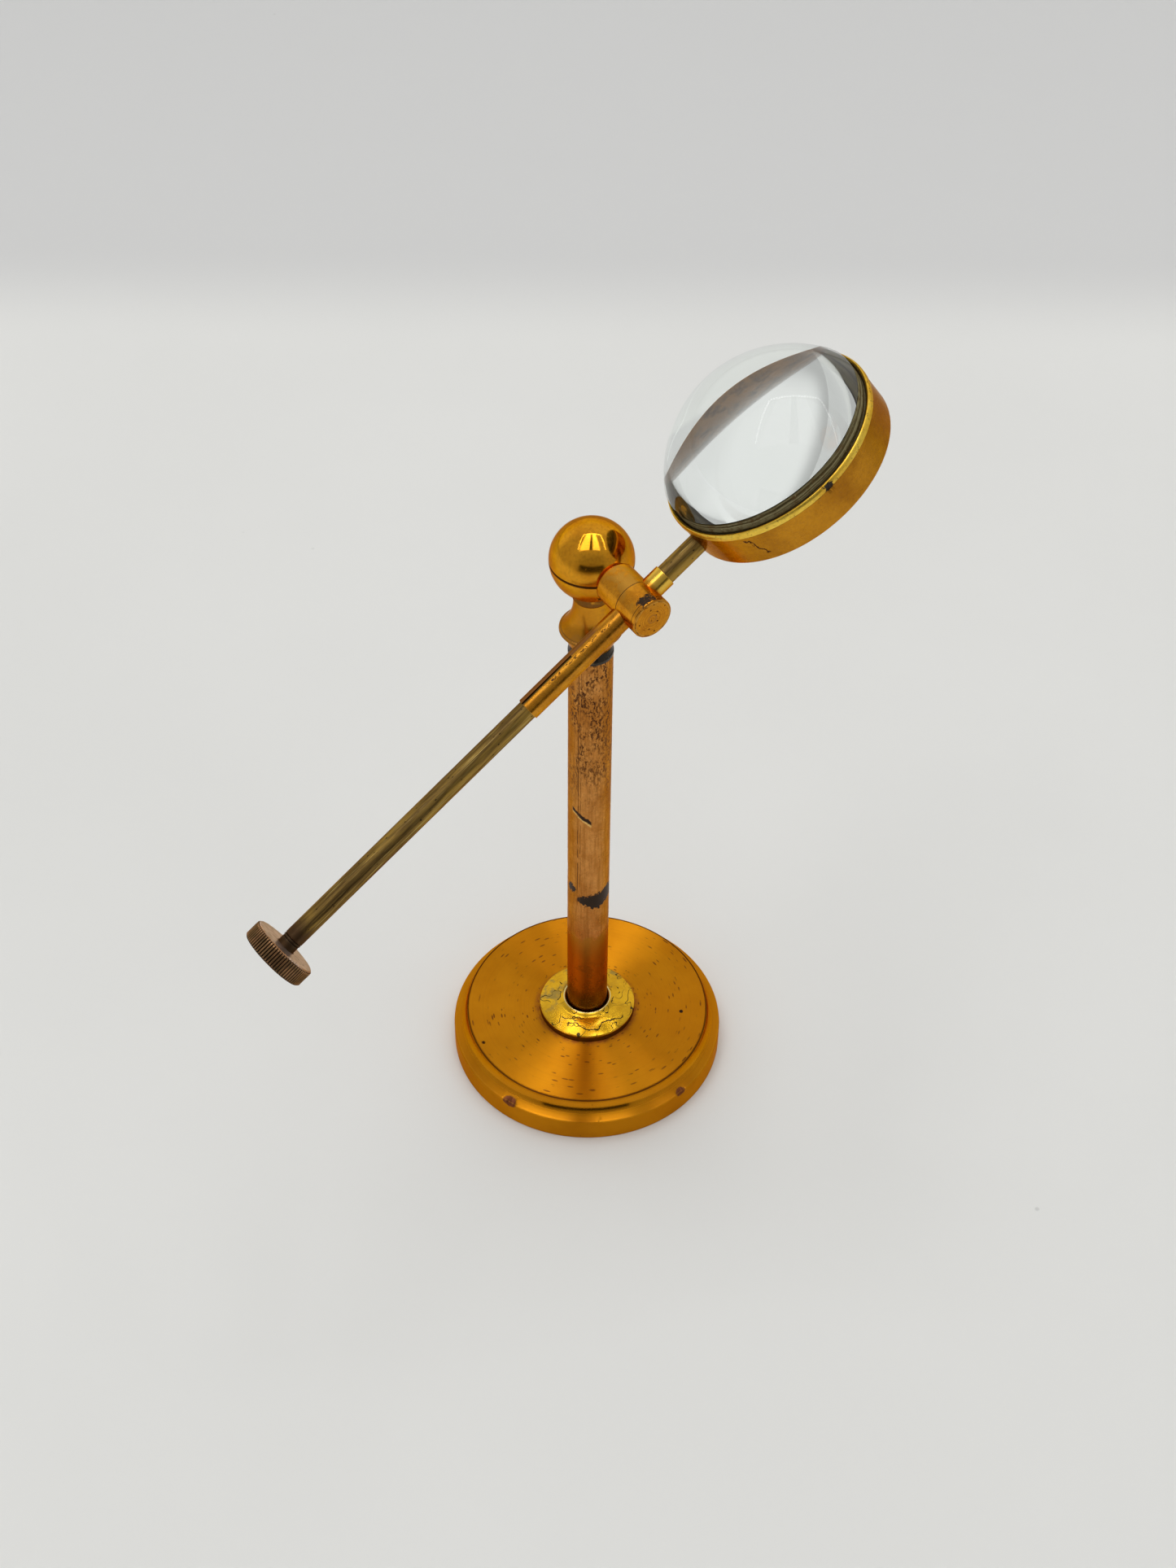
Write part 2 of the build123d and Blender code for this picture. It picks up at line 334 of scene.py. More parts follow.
class Nodes:
    """A node tree, with short names for what is used most.  Numbers and colours may be values or sockets."""

    def __init__(self, owner, coordinates, **mapping):
        owner.use_nodes = True
        self.tree = owner.node_tree
        self.tree.nodes.clear()
        where = self.node("ShaderNodeTexCoord").outputs[coordinates]
        mapped = self.node("ShaderNodeMapping", {"Vector": where, **mapping}, vector_type="TEXTURE")
        self.at = mapped.outputs["Vector"]
        self.x, self.y, self.z = self.node("ShaderNodeSeparateXYZ", {0: self.at}).outputs
        self.r = self.math("SQRT", self.plus(self.times(self.x, self.x), self.times(self.y, self.y)))

    def link(self, a, b):
        self.tree.links.new(a, b)

    def node(self, kind, ins=None, **props):
        made = self.tree.nodes.new(kind)
        for k, v in props.items():
            setattr(made, k, v)
        for k, v in (ins or {}).items():
            if isinstance(v, bpy.types.NodeSocket):
                self.link(v, made.inputs[k])
            else:
                made.inputs[k].default_value = v
        return made

    def math(self, op, a, b=0.0, c=0.0):
        return self.node("ShaderNodeMath", {0: a, 1: b, 2: c}, operation=op).outputs[0]

    def plus(self, a, b):
        return self.math("ADD", a, b)

    def times(self, *factors):
        out = factors[0]
        for v in factors[1:]:
            out = self.math("MULTIPLY", out, v)
        return out

    def vector(self, x=0.0, y=0.0, z=0.0):
        return self.node("ShaderNodeCombineXYZ", {0: x, 1: y, 2: z}).outputs[0]

    def noise(self, scale, detail=4.0, rough=0.55, at=None, warp=0.0):
        ins = {"Vector": at or self.at, "Scale": scale, "Detail": detail, "Roughness": rough,
               "Distortion": warp}
        return self.node("ShaderNodeTexNoise", ins).outputs["Fac"]

    def clouds(self, low, high, *noise, **more):
        """Noise, from 0 at low to 1 at high."""
        return self.range(self.noise(*noise, **more), low, high)

    def sway(self, amount, *noise):
        """Noise about zero, for a line or an edge that wanders."""
        return self.times(self.math("SUBTRACT", self.noise(*noise), 0.5), amount)

    def cells(self, scale, at=None, feature="F1"):
        ins = {"Vector": at or self.at, "Scale": scale}
        return self.node("ShaderNodeTexVoronoi", ins, feature=feature).outputs["Distance"]

    def dots(self, scale, low, high, at=None):
        """1 on small round dots: low and high are where a dot's edge starts and ends."""
        return self.range(self.cells(scale, at), low, high, 1.0, 0.0)

    def stretched(self, *factors):
        """The coordinates scaled by axis: a small factor draws a pattern out along that axis."""
        return self.node("ShaderNodeVectorMath", {0: self.at, 1: factors}, operation="MULTIPLY").outputs[0]

    def range(self, v, low, high, to_low=0.0, to_high=1.0):
        """v from low..high to to_low..to_high, smoothly and no further."""
        ins = {"Value": v, "From Min": low, "From Max": high, "To Min": to_low, "To Max": to_high}
        return self.node("ShaderNodeMapRange", ins, interpolation_type="SMOOTHSTEP").outputs[0]

    both = times  # the place where all masks meet

    def either(self, *masks):
        out = masks[0]
        for m in masks[1:]:
            out = self.math("MAXIMUM", out, m)
        return out

    def mix(self, fac, a, b):
        """Colours, as (r, g, b) or sockets."""
        a, b = (v if isinstance(v, bpy.types.NodeSocket) else (*v, 1.0) for v in (a, b))
        return self.node("ShaderNodeMix", {0: fac, 6: a, 7: b}, data_type="RGBA").outputs[2]

    def blend(self, fac, a, b):
        """Numbers."""
        return self.node("ShaderNodeMix", {0: fac, 2: a, 3: b}, data_type="FLOAT").outputs[0]

    def band(self, v, low, high, soft):
        """1 between low and high."""
        fall = self.range(v, high - soft, high + soft, 1.0, 0.0)
        return self.both(self.range(v, low - soft, low + soft), fall)


class Finish(Nodes):
    """A procedural material being built up in layers.  Coordinates are millimetres in the piece's frame."""

    def __init__(self, name, place=STAND):
        self.material = bpy.data.materials.new(name)
        super().__init__(self.material, "Object", Location=place.translation, Rotation=place.to_euler("XYZ"),
                         Scale=(MM, MM, MM))
        self.a = self.math("ARCTAN2", self.y, self.x)
        self.metal = 1.0
        self.height = None

    def edge(self, low, high):
        """1 towards a piece's edges, as outline() marks them."""
        near = self.node("ShaderNodeAttribute", attribute_name="edge").outputs["Fac"]
        return self.range(near, low, high)

    def spot(self, centre, radius, soft=0.3, ragged=0.0, scale=1.0, squash=(1, 1, 1)):
        """1 near a point (millimetres in the frame), with a ragged outline."""
        offset = self.node("ShaderNodeVectorMath", {0: self.at, 1: centre}, operation="SUBTRACT").outputs[0]
        shaped = self.node("ShaderNodeVectorMath", {0: offset, 1: squash}, operation="MULTIPLY").outputs[0]
        away = self.node("ShaderNodeVectorMath", {0: shaped}, operation="LENGTH").outputs["Value"]
        if ragged:
            wobble = self.math("SUBTRACT", self.noise(scale, 5, 0.65), 0.5)
            away = self.math("MULTIPLY_ADD", wobble, ragged, away)
        return self.range(away, radius - soft, radius + soft, 1.0, 0.0)

    def roughen(self, low, high, *noise):
        """Sets a roughness that clouds between low and high."""
        self.rough = self.range(self.noise(*noise), 0.3, 0.7, low, high)

    def lay(self, mask, colour=None, rough=None, sink=None, metal=None):
        """Puts a layer over what is there."""
        if colour is not None:
            self.colour = self.mix(mask, self.colour, colour)
        if rough is not None:
            self.rough = self.blend(mask, self.rough, rough)
        if metal is not None:
            self.metal = self.blend(mask, self.metal, metal)
        if sink is not None:
            self.raise_by(self.times(mask, -sink))

    def bumps(self, height, *noise):
        """Raises the surface by noise, up to a height."""
        self.raise_by(self.times(self.noise(*noise), height))

    def raise_by(self, amount):
        """Adds to the surface's height, in millimetres."""
        self.height = amount if self.height is None else self.plus(self.height, amount)

    def done(self, coat=0.0, coat_rough=0.08, anisotropic=0.0, turn=0.0, **sockets):
        ins = {"Base Color": self.colour, "Roughness": self.rough, "Metallic": self.metal,
               "Coat Weight": coat, "Coat Roughness": coat_rough}
        if anisotropic:
            ins["Anisotropic"] = anisotropic
            ins["Anisotropic Rotation"] = turn
            ins["Tangent"] = self.node("ShaderNodeTangent", direction_type="RADIAL", axis="Z").outputs[0]
        if isinstance(self.metal, bpy.types.NodeSocket) or self.metal > 0.5:
            ins["Specular Tint"] = EDGE_TINT
        ins.update({k.replace("_", " "): v for k, v in sockets.items()})
        shader = self.node("ShaderNodeBsdfPrincipled", ins)
        if self.height is not None:
            bump = self.node("ShaderNodeBump", {"Strength": 1.0, "Distance": MM, "Height": self.height})
            self.link(bump.outputs[0], shader.inputs["Normal"])
            if coat:
                soft = self.node("ShaderNodeBump", {"Strength": 0.5, "Distance": MM, "Height": self.height})
                self.link(soft.outputs[0], shader.inputs["Coat Normal"])
        out = self.node("ShaderNodeOutputMaterial")
        self.link(shader.outputs[0], out.inputs["Surface"])
        return self.material


def brass(name, place, pale, deep, rough, cloud=0.09, pits=0.5, pit_size=1.0, speck=(0.1, 0.045, 0.012),
          grain=0.22, wave=0.006):
    """Lacquered brass: two tones in clouds, fine pits and small dark specks."""
    f = Finish(name, place)
    tone = f.noise(cloud, 6, 0.62)
    fine = f.noise(1.3, 4, 0.6)
    f.colour = f.mix(f.range(tone, 0.36, 0.66), pale, deep)
    f.lay(f.range(fine, 0.4, 0.75, 0.0, grain), speck)
    f.roughen(*rough, 0.5, 5, 0.65)
    f.raise_by(f.sway(wave, 0.22, 3, 0.5))
    if pits:
        where = f.range(f.noise(0.16, 3, 0.6), 0.6 - 0.12 * pits, 0.72 - 0.12 * pits)
        f.lay(f.both(f.dots(1.1 / pit_size, 0.07, 0.15), where), speck, 0.5, 0.03)
    return f


def turned_marks(f, along, pitch=9.0, depth=0.0012):
    """Fine rings left by the lathe, as a pattern along one coordinate."""
    lines = f.noise(pitch, 3, 0.6, at=f.vector(along, f.times(f.a, 0.15)))
    f.raise_by(f.times(lines, depth))
    f.rough = f.plus(f.rough, f.range(lines, 0.3, 0.7, -0.03, 0.05))


def polar(radius, degrees, z=0.0):
    """A point in millimetres, from a radius, an angle and a height."""
    a = math.radians(degrees)
    return (radius * math.cos(a), radius * math.sin(a), z)


def base_finish():
    f = brass("finish_base", STAND, (0.68, 0.26, 0.008), (0.59, 0.21, 0.006), (0.36, 0.38), cloud=0.05,
              pits=0.0, grain=0.0, wave=0.0)
    grooves = f.noise(1.6, 2, 0.6, at=f.vector(f.r, f.times(f.a, 0.02)))
    f.lay(f.range(grooves, 0.45, 0.75, 0.0, 0.25), (0.46, 0.15, 0.008))
    flecks = f.vector(f.times(f.r, 1.6), f.times(f.a, 11.0), f.z)
    some = f.clouds(0.4, 0.54, 0.13, 3, 0.6)
    mask = f.both(f.dots(0.55, 0.15, 0.25, flecks), some)
    f.lay(f.both(mask, f.range(f.z, 11.6, 11.9)), (0.26, 0.085, 0.01), 0.4)
    dust = f.both(f.dots(0.3, 0.035, 0.06), f.clouds(0.5, 0.6, 0.2, 2))
    f.lay(dust, (0.2, 0.07, 0.012), 0.5)
    f.lay(f.spot(polar(26.9, -38, 12.0), 0.55, 0.12, 0.5, 1.5), (0.03, 0.012, 0.005), 0.6, 0.05, 0.6)
    f.lay(f.spot(polar(32.3, 172, 12.0), 0.5, 0.2, 0.7, 1.2), (0.08, 0.03, 0.008), 0.5, 0.03)
    # Painted shade: a dark line along the plate's edge groove, carried over the rounded corner so that the
    # corner shows no bright reflection
    line = f.band(f.plus(f.r, f.times(f.noise(0.6, 3), 0.12)), 33.88, 34.6, 0.08)
    f.lay(f.both(line, f.range(f.z, 11.45, 11.7)), (0.2, 0.065, 0.006), 0.5)
    # Painted shade: the plate darkens, in patches, in a ring round the collar's foot
    shade_round_collar = f.both(f.range(f.r, 13.4, 15.6, 1.0, 0.0), f.clouds(0.35, 0.6, 0.5, 4))
    f.lay(shade_round_collar, (0.42, 0.12, 0.02), 0.4)
    for degrees, half in ((-158.5, 4.2), (-79.0, 3.2)):
        f.lay(f.spot(polar(37.55, degrees, 6.75), half * 0.5, 0.3, 1.4, 0.9, (1, 1, 1.6)),
              (0.24, 0.075, 0.03), 0.5, 0.0)
    # Painted highlight: a bright line along the rim's top edge
    f.lay(f.both(f.edge(0.86, 0.98), f.band(f.z, 6.0, 7.4, 0.3)), (0.8, 0.36, 0.02), 0.24)
    cove = f.both(f.band(f.r, 34.25, 37.45, 0.08), f.range(f.z, 6.9, 7.1), f.range(f.z, 11.75, 11.6))
    f.lay(cove, rough=0.11)
    f.lay(f.both(cove, f.range(f.z, 8.8, 7.6)), rough=0.36)
    return f.done(anisotropic=1.0, turn=0.25, coat=0.02)


def plain_metal(name, place, pale, deep, rough, coat=0.0):
    return brass(name, place, pale, deep, rough, pits=0.6).done(coat=coat)


def collar_finish():
    f = brass("finish_collar", STAND, (0.84, 0.47, 0.016), (0.64, 0.33, 0.01), (0.17, 0.27), cloud=0.16,
              pits=0.3, grain=0.03, wave=0.008)
    grey = f.both(f.clouds(0.46, 0.62, 0.28, 4, 0.6), f.range(f.y, -2, 5))
    f.lay(grey, (0.4, 0.26, 0.05), 0.3)
    swirl = f.noise(0.2, 1, 0.5, warp=1.2)
    squiggle = f.both(f.band(swirl, 0.474, 0.502, 0.005), f.clouds(0.42, 0.48, 0.22, 2))
    f.lay(squiggle, (0.07, 0.045, 0.008), 0.5, 0.01)
    curl = f.math("MULTIPLY_ADD", f.math("SINE", f.times(f.a, 7.0)), 0.9,
                  f.math("MULTIPLY_ADD", f.noise(0.45, 3), 2.4, f.r))
    long_mark = f.both(f.band(curl, 11.85, 12.25, 0.08), f.band(f.a, -2.7, -1.1, 0.05))
    f.lay(long_mark, (0.06, 0.035, 0.006), 0.5, 0.01)
    short_mark = f.both(f.band(curl, 10.15, 10.5, 0.07), f.band(f.a, -2.95, -2.35, 0.05))
    f.lay(short_mark, (0.08, 0.05, 0.012), 0.45)
    # Painted shade: the collar's outer side, below its top edge, is darker
    f.lay(f.range(f.z, 13.6, 14.2, 1.0, 0.0), (0.12, 0.08, 0.015), 0.4)
    # Painted highlight: a pale ring on the lip round the pillar
    f.lay(f.both(f.band(f.r, 6.3, 6.75, 0.12), f.range(f.z, 16.3, 16.6)), (0.78, 0.66, 0.3), 0.24)
    return f.done(coat=0.2)


def pillar_finish():
    f = brass("finish_pillar", STAND, (0.68, 0.3, 0.075), (0.5, 0.19, 0.035), (0.24, 0.36), cloud=0.12,
              pits=0.8)
    streak = f.noise(1.4, 5, 0.65, at=f.stretched(1, 1, 0.06))
    f.lay(f.range(streak, 0.4, 0.66, 0.0, 0.6), (0.34, 0.12, 0.018))
    f.raise_by(f.times(streak, 0.012))
    # The lacquer left at the foot, orange below about 47 mm; below about 34 mm a painted reflection of the
    # collar darkens it towards the foot
    height = f.plus(f.z, f.sway(9.0, 0.35, 5, 0.6))
    f.lay(f.range(height, 45.0, 48.5, 0.92, 0.0), (0.42, 0.185, 0.018), 0.24)
    # Painted reflection: darker towards the foot, standing in for the collar's reflection
    f.lay(f.range(height, 17.0, 34.0, 0.8, 0.0), (0.27, 0.135, 0.02), 0.28)
    patches = f.both(f.clouds(0.48, 0.62, 0.28, 5, 0.6), f.range(f.z, 24, 48, 0.8, 0.0))
    f.lay(patches, (0.26, 0.105, 0.012), 0.32)
    # Pitting below the mouth
    specks = f.stretched(1.5, 1.5, 0.75)
    crowd = f.clouds(0.38, 0.56, 0.2, 4, 0.65, at=f.stretched(1, 1, 0.35))
    crowd = f.both(f.range(f.z, 90, 124), crowd)
    mask = f.both(f.clouds(0.495, 0.555, 1.15, 6, 0.74, at=specks), crowd)
    f.lay(mask, (0.085, 0.026, 0.008), 0.55, 0.05, 0.8)
    # Blotch and scratch
    blotch = f.either(f.spot(polar(5.65, -102, 62.3), 3.2, 0.15, 5.4, 1.15, (1, 1, 1.15)),
                      f.spot(polar(5.65, -66, 63.6), 3.2, 0.15, 5.0, 1.2, (1, 1, 1.15)),
                      f.spot(polar(5.65, -138, 62.6), 1.6, 0.15, 3.6, 1.2),
                      f.spot(polar(5.65, -176, 66.0), 1.5, 0.15, 3.4, 1.1))
    f.lay(blotch, (0.018, 0.012, 0.01), 0.45, 0.03, 0.4)
    # A curved scratch from (-173 deg, 97) down to (-117 deg, 93), with a bright lower edge
    curve = f.plus(f.math("MULTIPLY_ADD", f.a, 4.08, f.z), f.plus(f.sway(2.4, 0.5, 3), 8.3))
    ends = f.both(f.range(f.a, -3.06, -2.98), f.range(f.a, -2.1, -2.0, 1.0, 0.0))
    f.lay(f.both(f.band(curve, 92.1, 93.5, 0.2), ends), (0.03, 0.016, 0.01), 0.5, 0.05, 0.6)
    f.lay(f.both(f.band(curve, 91.6, 92.2, 0.2), ends), (0.78, 0.46, 0.14), 0.25)
    # Fine seams along the tube
    turn = f.plus(f.a, f.sway(0.16, 0.12, 3))
    gaps = f.clouds(0.4, 0.47, 0.22, 3, 0.6, at=f.stretched(1, 1, 0.5))
    seams = f.either(f.band(turn, -2.72, -2.685, 0.012), f.band(turn, -2.58, -2.56, 0.01))
    f.lay(f.both(seams, gaps, f.range(f.z, 58, 64)), (0.13, 0.05, 0.018), 0.5, 0.03)
    return f.done(coat=0.08, coat_rough=0.22)


def ring_finish():
    f = Finish("finish_mouth_ring", STAND)
    f.colour = f.mix(f.noise(0.5, 4), (0.009, 0.008, 0.007), (0.028, 0.025, 0.02))
    f.roughen(0.2, 0.34, 1.2, 4)
    f.metal = 0.4
    f.bumps(0.008, 2.2, 4)
    worn = f.both(f.edge(0.8, 0.97), f.clouds(0.6, 0.66, 1.1, 4))
    f.lay(worn, (0.3, 0.2, 0.08), 0.3, metal=1.0)
    return f.done(coat=0.3, coat_rough=0.15)


def ball_finish():
    f = brass("finish_ball", BALL, (0.82, 0.36, 0.018), (0.64, 0.24, 0.01), (0.06, 0.14), cloud=0.1,
              pits=0.45)
    lines = f.noise(5.0, 3, 0.6, at=f.vector(f.z, f.times(f.a, 0.1)))
    f.lay(f.range(lines, 0.5, 0.75, 0.0, 0.16), (0.34, 0.13, 0.02))
    dull = f.both(f.clouds(0.52, 0.68, 0.16, 4, 0.6), f.range(f.z, 3.0, -4.0))
    f.lay(dull, (0.46, 0.2, 0.035), 0.22)
    f.lay(f.band(f.z, -0.62, 0.16, 0.14), (0.1, 0.035, 0.006), 0.35)
    f.lay(f.range(f.z, -0.6, -3.0, 0.0, 0.45), (0.5, 0.2, 0.016), 0.2)
    f.lay(f.range(f.z, 6.4, 3.2), rough=0.25)
    f.lay(f.spot((-3.2, -8.4, -5.0), 0.7, 0.25, 1.6, 0.9), (0.1, 0.05, 0.02), 0.5, 0.02)
    f.lay(f.spot((-5.4, -7.4, -3.6), 0.35, 0.15, 0.8, 1.2), (0.1, 0.05, 0.02), 0.5, 0.02)
    # Painted shade: a dark band, in patches, where the ball meets the neck under it
    shade_under_ball = f.both(f.band(f.z, -11.6, -9.6, 0.3), f.clouds(0.2, 0.5, 0.4, 3))
    f.lay(shade_under_ball, (0.2, 0.08, 0.015), 0.3)
    f.lay(f.both(f.edge(0.75, 0.97), f.range(f.z, -19.0, -20.5)), (0.28, 0.12, 0.02), 0.3)
    return f.done(coat=0.06)


def cross_finish():
    f = brass("finish_crosshead", CROSS, (0.8, 0.33, 0.022), (0.6, 0.22, 0.012), (0.17, 0.28), cloud=0.16,
              pits=0.9, pit_size=0.8, speck=(0.16, 0.06, 0.02))
    turned_marks(f, f.z, 7.0)
    # Painted highlight: the upper side of the barrels is lighter, in patches
    worn = f.both(f.clouds(0.46, 0.6, 0.3, 4, 0.6), f.range(f.y, 2.0, 5.2))
    f.lay(worn, (0.6, 0.28, 0.035), 0.25)
    loss = f.both(f.band(f.plus(f.z, f.sway(5.0, 0.9, 5, 0.75)), 22.9, 25.2, 0.12),
                  f.band(f.plus(f.a, f.sway(1.1, 0.7, 5, 0.7)), 1.42, 2.14, 0.06),
                  f.clouds(0.33, 0.38, 1.3, 5, 0.7), f.range(f.r, 5.0, 5.2))
    f.lay(loss, (0.03, 0.018, 0.012), 0.5, 0.05, 0.5)
    for low, high in ((18.05, 18.24), (24.42, 24.58)):
        f.lay(f.band(f.z, low, high, 0.05), (0.1, 0.04, 0.02), 0.5)
    face = f.range(f.z, 25.2, 25.5)
    dots = f.both(f.dots(0.85, 0.17, 0.25), f.clouds(0.38, 0.48, 0.35, 3), face)
    f.lay(dots, (0.05, 0.02, 0.01), 0.55, 0.04)
    rings = f.noise(4.0, 2, 0.5, at=f.vector(f.r))
    f.lay(f.both(face, f.range(rings, 0.4, 0.7, 0.2, 0.8)), (0.32, 0.11, 0.016), 0.36)
    f.lay(f.both(face, f.band(f.r, 4.75, 4.95, 0.08)), (0.1, 0.04, 0.012), 0.5)
    f.lay(f.both(face, f.band(f.r, 0.9, 1.25, 0.15)), (0.42, 0.17, 0.03), 0.32)
    # Painted highlight: a lighter rim along the end face's edge
    rim = f.both(f.edge(0.82, 0.98), f.range(f.z, 24.8, 25.4), f.clouds(0.42, 0.56, 0.6, 3))
    f.lay(rim, (0.62, 0.3, 0.05), 0.25)
    return f.done(coat=0.05, coat_rough=0.2)


def sleeve_finish():
    f = brass("finish_sleeve", ROD, (0.68, 0.29, 0.022), (0.5, 0.19, 0.012), (0.2, 0.32), cloud=0.14,
              pits=0.9, pit_size=0.7)
    streak = f.noise(2.0, 4, 0.6, at=f.stretched(1, 1, 0.07))
    f.lay(f.range(streak, 0.45, 0.7, 0.0, 0.3), (0.38, 0.15, 0.03))
    line = f.plus(f.a, f.times(f.noise(0.5, 4), 0.25))
    speckle = f.both(f.band(line, 0.38, 0.58, 0.06), f.clouds(0.5, 0.57, 1.6, 5, 0.7),
                     f.band(f.z, -28, -8, 1.5))
    f.lay(speckle, (0.1, 0.04, 0.012), 0.5, 0.04)
    # Painted highlight: the upper side of the sleeve, near its end towards the lens, is lighter
    f.lay(f.both(f.range(f.z, 5.0, 6.2), f.range(f.x, -1.2, 0.8)), (0.82, 0.5, 0.07), 0.2)
    f.lay(f.edge(0.9, 1.0), (0.82, 0.5, 0.1), 0.25)
    strip = f.both(f.band(f.a, -1.3, -0.02, 0.05), f.range(f.z, -9.5, -12.5), f.range(f.r, 2.86, 2.9))
    f.lay(strip, (0.26, 0.105, 0.03), 0.34)
    # Painted shade: the sleeve's bore is dark, as seen through the slit
    f.lay(f.range(f.r, 2.84, 2.78), (0.06, 0.03, 0.01), 0.55)
    return f.done(coat=0.06)


def rod_finish():
    f = Finish("finish_rod", ROD)
    streak = f.noise(2.2, 6, 0.7, at=f.stretched(1, 1, 0.035))
    broad = f.noise(0.35, 4, 0.6, at=f.stretched(1, 1, 0.1))
    f.colour = f.mix(f.range(streak, 0.38, 0.66), (0.12, 0.07, 0.022), (0.26, 0.16, 0.042))
    f.lay(f.range(broad, 0.46, 0.66, 0.0, 0.8), (0.46, 0.28, 0.055))
    f.rough = f.range(streak, 0.3, 0.7, 0.3, 0.46)
    f.metal = 0.92
    f.raise_by(f.times(streak, 0.02))
    scratch = f.clouds(0.6, 0.68, 5.0, 3, 0.5, at=f.stretched(1, 1, 0.02))
    f.lay(scratch, (0.42, 0.3, 0.1), 0.3)
    dark = f.both(f.dots(0.9, 0.08, 0.16, f.stretched(1, 1, 0.5)), f.range(broad, 0.4, 0.5))
    f.lay(dark, (0.03, 0.02, 0.01), 0.5, 0.02)
    tail = f.range(f.math("MULTIPLY_ADD", f.noise(0.6, 3), 2.0, f.z), -105.0, -110.5)
    f.lay(tail, (0.075, 0.04, 0.018), 0.42)
    return f.done(coat=0.06)


def knob_finish():
    f = Finish("finish_knob", ROD)
    cloud = f.noise(0.35, 5, 0.62)
    f.colour = f.mix(f.range(cloud, 0.35, 0.65), (0.3, 0.155, 0.07), (0.155, 0.09, 0.04))
    f.roughen(0.3, 0.46, 0.8, 5)
    f.metal = 0.95
    f.bumps(0.02, 1.4, 5)
    # Painted sheen: the face is coloured a pale grey-pink that stands in for its greyish reflection
    face = f.both(f.range(f.z, -116.1, -115.9), f.range(f.r, 8.5, 8.3))
    f.lay(face, f.mix(f.clouds(0.4, 0.65, 0.5, 5), (0.68, 0.56, 0.49), (0.48, 0.38, 0.32)), 0.36)
    marks = f.both(f.dots(0.7, 0.12, 0.2), f.clouds(0.45, 0.6, 0.4, 3), face)
    f.lay(marks, (0.05, 0.03, 0.02), 0.5, 0.03)
    worn = f.both(f.edge(0.7, 0.9), f.range(f.r, 7.9, 8.2), f.clouds(0.36, 0.52, 0.16, 3),
                  f.range(f.z, -119.0, -118.0, 0.3, 1.0))
    f.lay(worn, f.mix(f.noise(0.7, 4), (0.56, 0.3, 0.15), (0.34, 0.19, 0.09)), 0.28)
    f.lay(f.range(f.r, 2.75, 2.55), (0.06, 0.036, 0.018), 0.45)
    grime = f.both(f.range(f.r, 8.74, 8.58), f.range(f.r, 8.3, 8.4), f.range(f.z, -115.95, -116.15))
    f.lay(grime, (0.02, 0.012, 0.007), 0.6, metal=0.5)
    return f.done(coat=0.08)


def lay_chip(f):
    """The dark floor of the chip in the cell and its bezel."""
    chip = f.spot(polar(27.5, CHIP_AT, 5.9), 1.25, 0.12, 3.4, 0.75, (0.8, 1, 1.25))
    f.lay(chip, (0.012, 0.008, 0.006), 0.5, 0.0, 0.4)


def cell_finish():
    f = brass("finish_cell", LENS, (0.58, 0.25, 0.014), (0.4, 0.155, 0.008), (0.2, 0.28), cloud=0.07,
              pits=0.9, pit_size=0.8, speck=(0.22, 0.08, 0.015))
    turned_marks(f, f.z, 8.0)
    lay_chip(f)
    f.lay(f.spot(polar(27.5, -94.5, 5.7), 0.55, 0.2, 1.2, 1.2, (1, 1, 1.4)), (0.05, 0.02, 0.01), 0.5, 0.02)
    # Wavy scratch, from about (-138 deg, 4.6) to (-131 deg, -0.9)
    turn = f.plus(f.times(f.plus(f.a, math.radians(134.6)), 27.4), f.sway(4.2, 0.55, 4, 0.6))
    slope = f.plus(turn, f.times(f.math("SUBTRACT", f.z, 1.9), 0.55))
    f.lay(f.both(f.band(slope, -0.26, 0.26, 0.12), f.band(f.z, -0.9, 4.6, 0.3), f.range(f.r, 27.0, 27.2)),
          (0.07, 0.025, 0.006), 0.5, 0.05)
    # Painted shade: the cell's inside, under the glass, darkens to brown, with stains in clouds
    shade_and_stain = f.mix(f.clouds(0.4, 0.65, 0.7, 6, 0.7), (0.24, 0.115, 0.024), (0.09, 0.042, 0.01))
    f.lay(f.range(f.r, 26.6, 26.4), shade_and_stain, 0.5, metal=0.9)
    f.lay(f.both(f.band(f.z, 5.4, 5.72, 0.06), f.range(f.r, 27.0, 27.2)), (0.12, 0.045, 0.008), 0.5)
    f.lay(f.both(f.edge(0.9, 1.0), f.range(f.z, -2.4, -2.9)), (0.8, 0.42, 0.07), 0.25)
    return f.done(coat=0.12)


def bezel_finish():
    f = brass("finish_bezel", LENS, (0.96, 0.66, 0.085), (0.84, 0.5, 0.045), (0.3, 0.42), cloud=0.12,
              pits=0.4)
    # Painted shade: the bezel's inner lip darkens to a ragged dark ring at the gap by the glass, with stains
    # in clouds
    dark = f.range(f.plus(f.r, f.sway(0.5, 0.8, 5, 0.65)), 26.92, 26.72)
    shade_and_stain = f.mix(f.clouds(0.42, 0.6, 1.4, 5, 0.7), (0.065, 0.048, 0.022), (0.2, 0.15, 0.06))
    f.lay(dark, shade_and_stain, 0.5, metal=0.8)
    lay_chip(f)
    spots = f.both(f.clouds(0.6, 0.66, 1.1, 5, 0.7), f.range(f.r, 26.7, 27.4))
    f.lay(spots, (0.3, 0.15, 0.03), 0.4, 0.02)
    return f.done(coat=0.2)


def glass_finish():
    f = Finish("finish_glass", LENS)
    f.colour = f.mix(f.clouds(0.3, 0.7, 0.05, 3), (0.945, 0.985, 0.965), (0.955, 0.99, 0.97))
    dust = f.both(f.dots(0.22, 0.03, 0.055), f.clouds(0.5, 0.6, 0.1, 2))
    f.rough = f.blend(dust, 0.0, 0.35)
    f.metal = 0.0
    return f.done(IOR=1.5, Transmission_Weight=1.0)


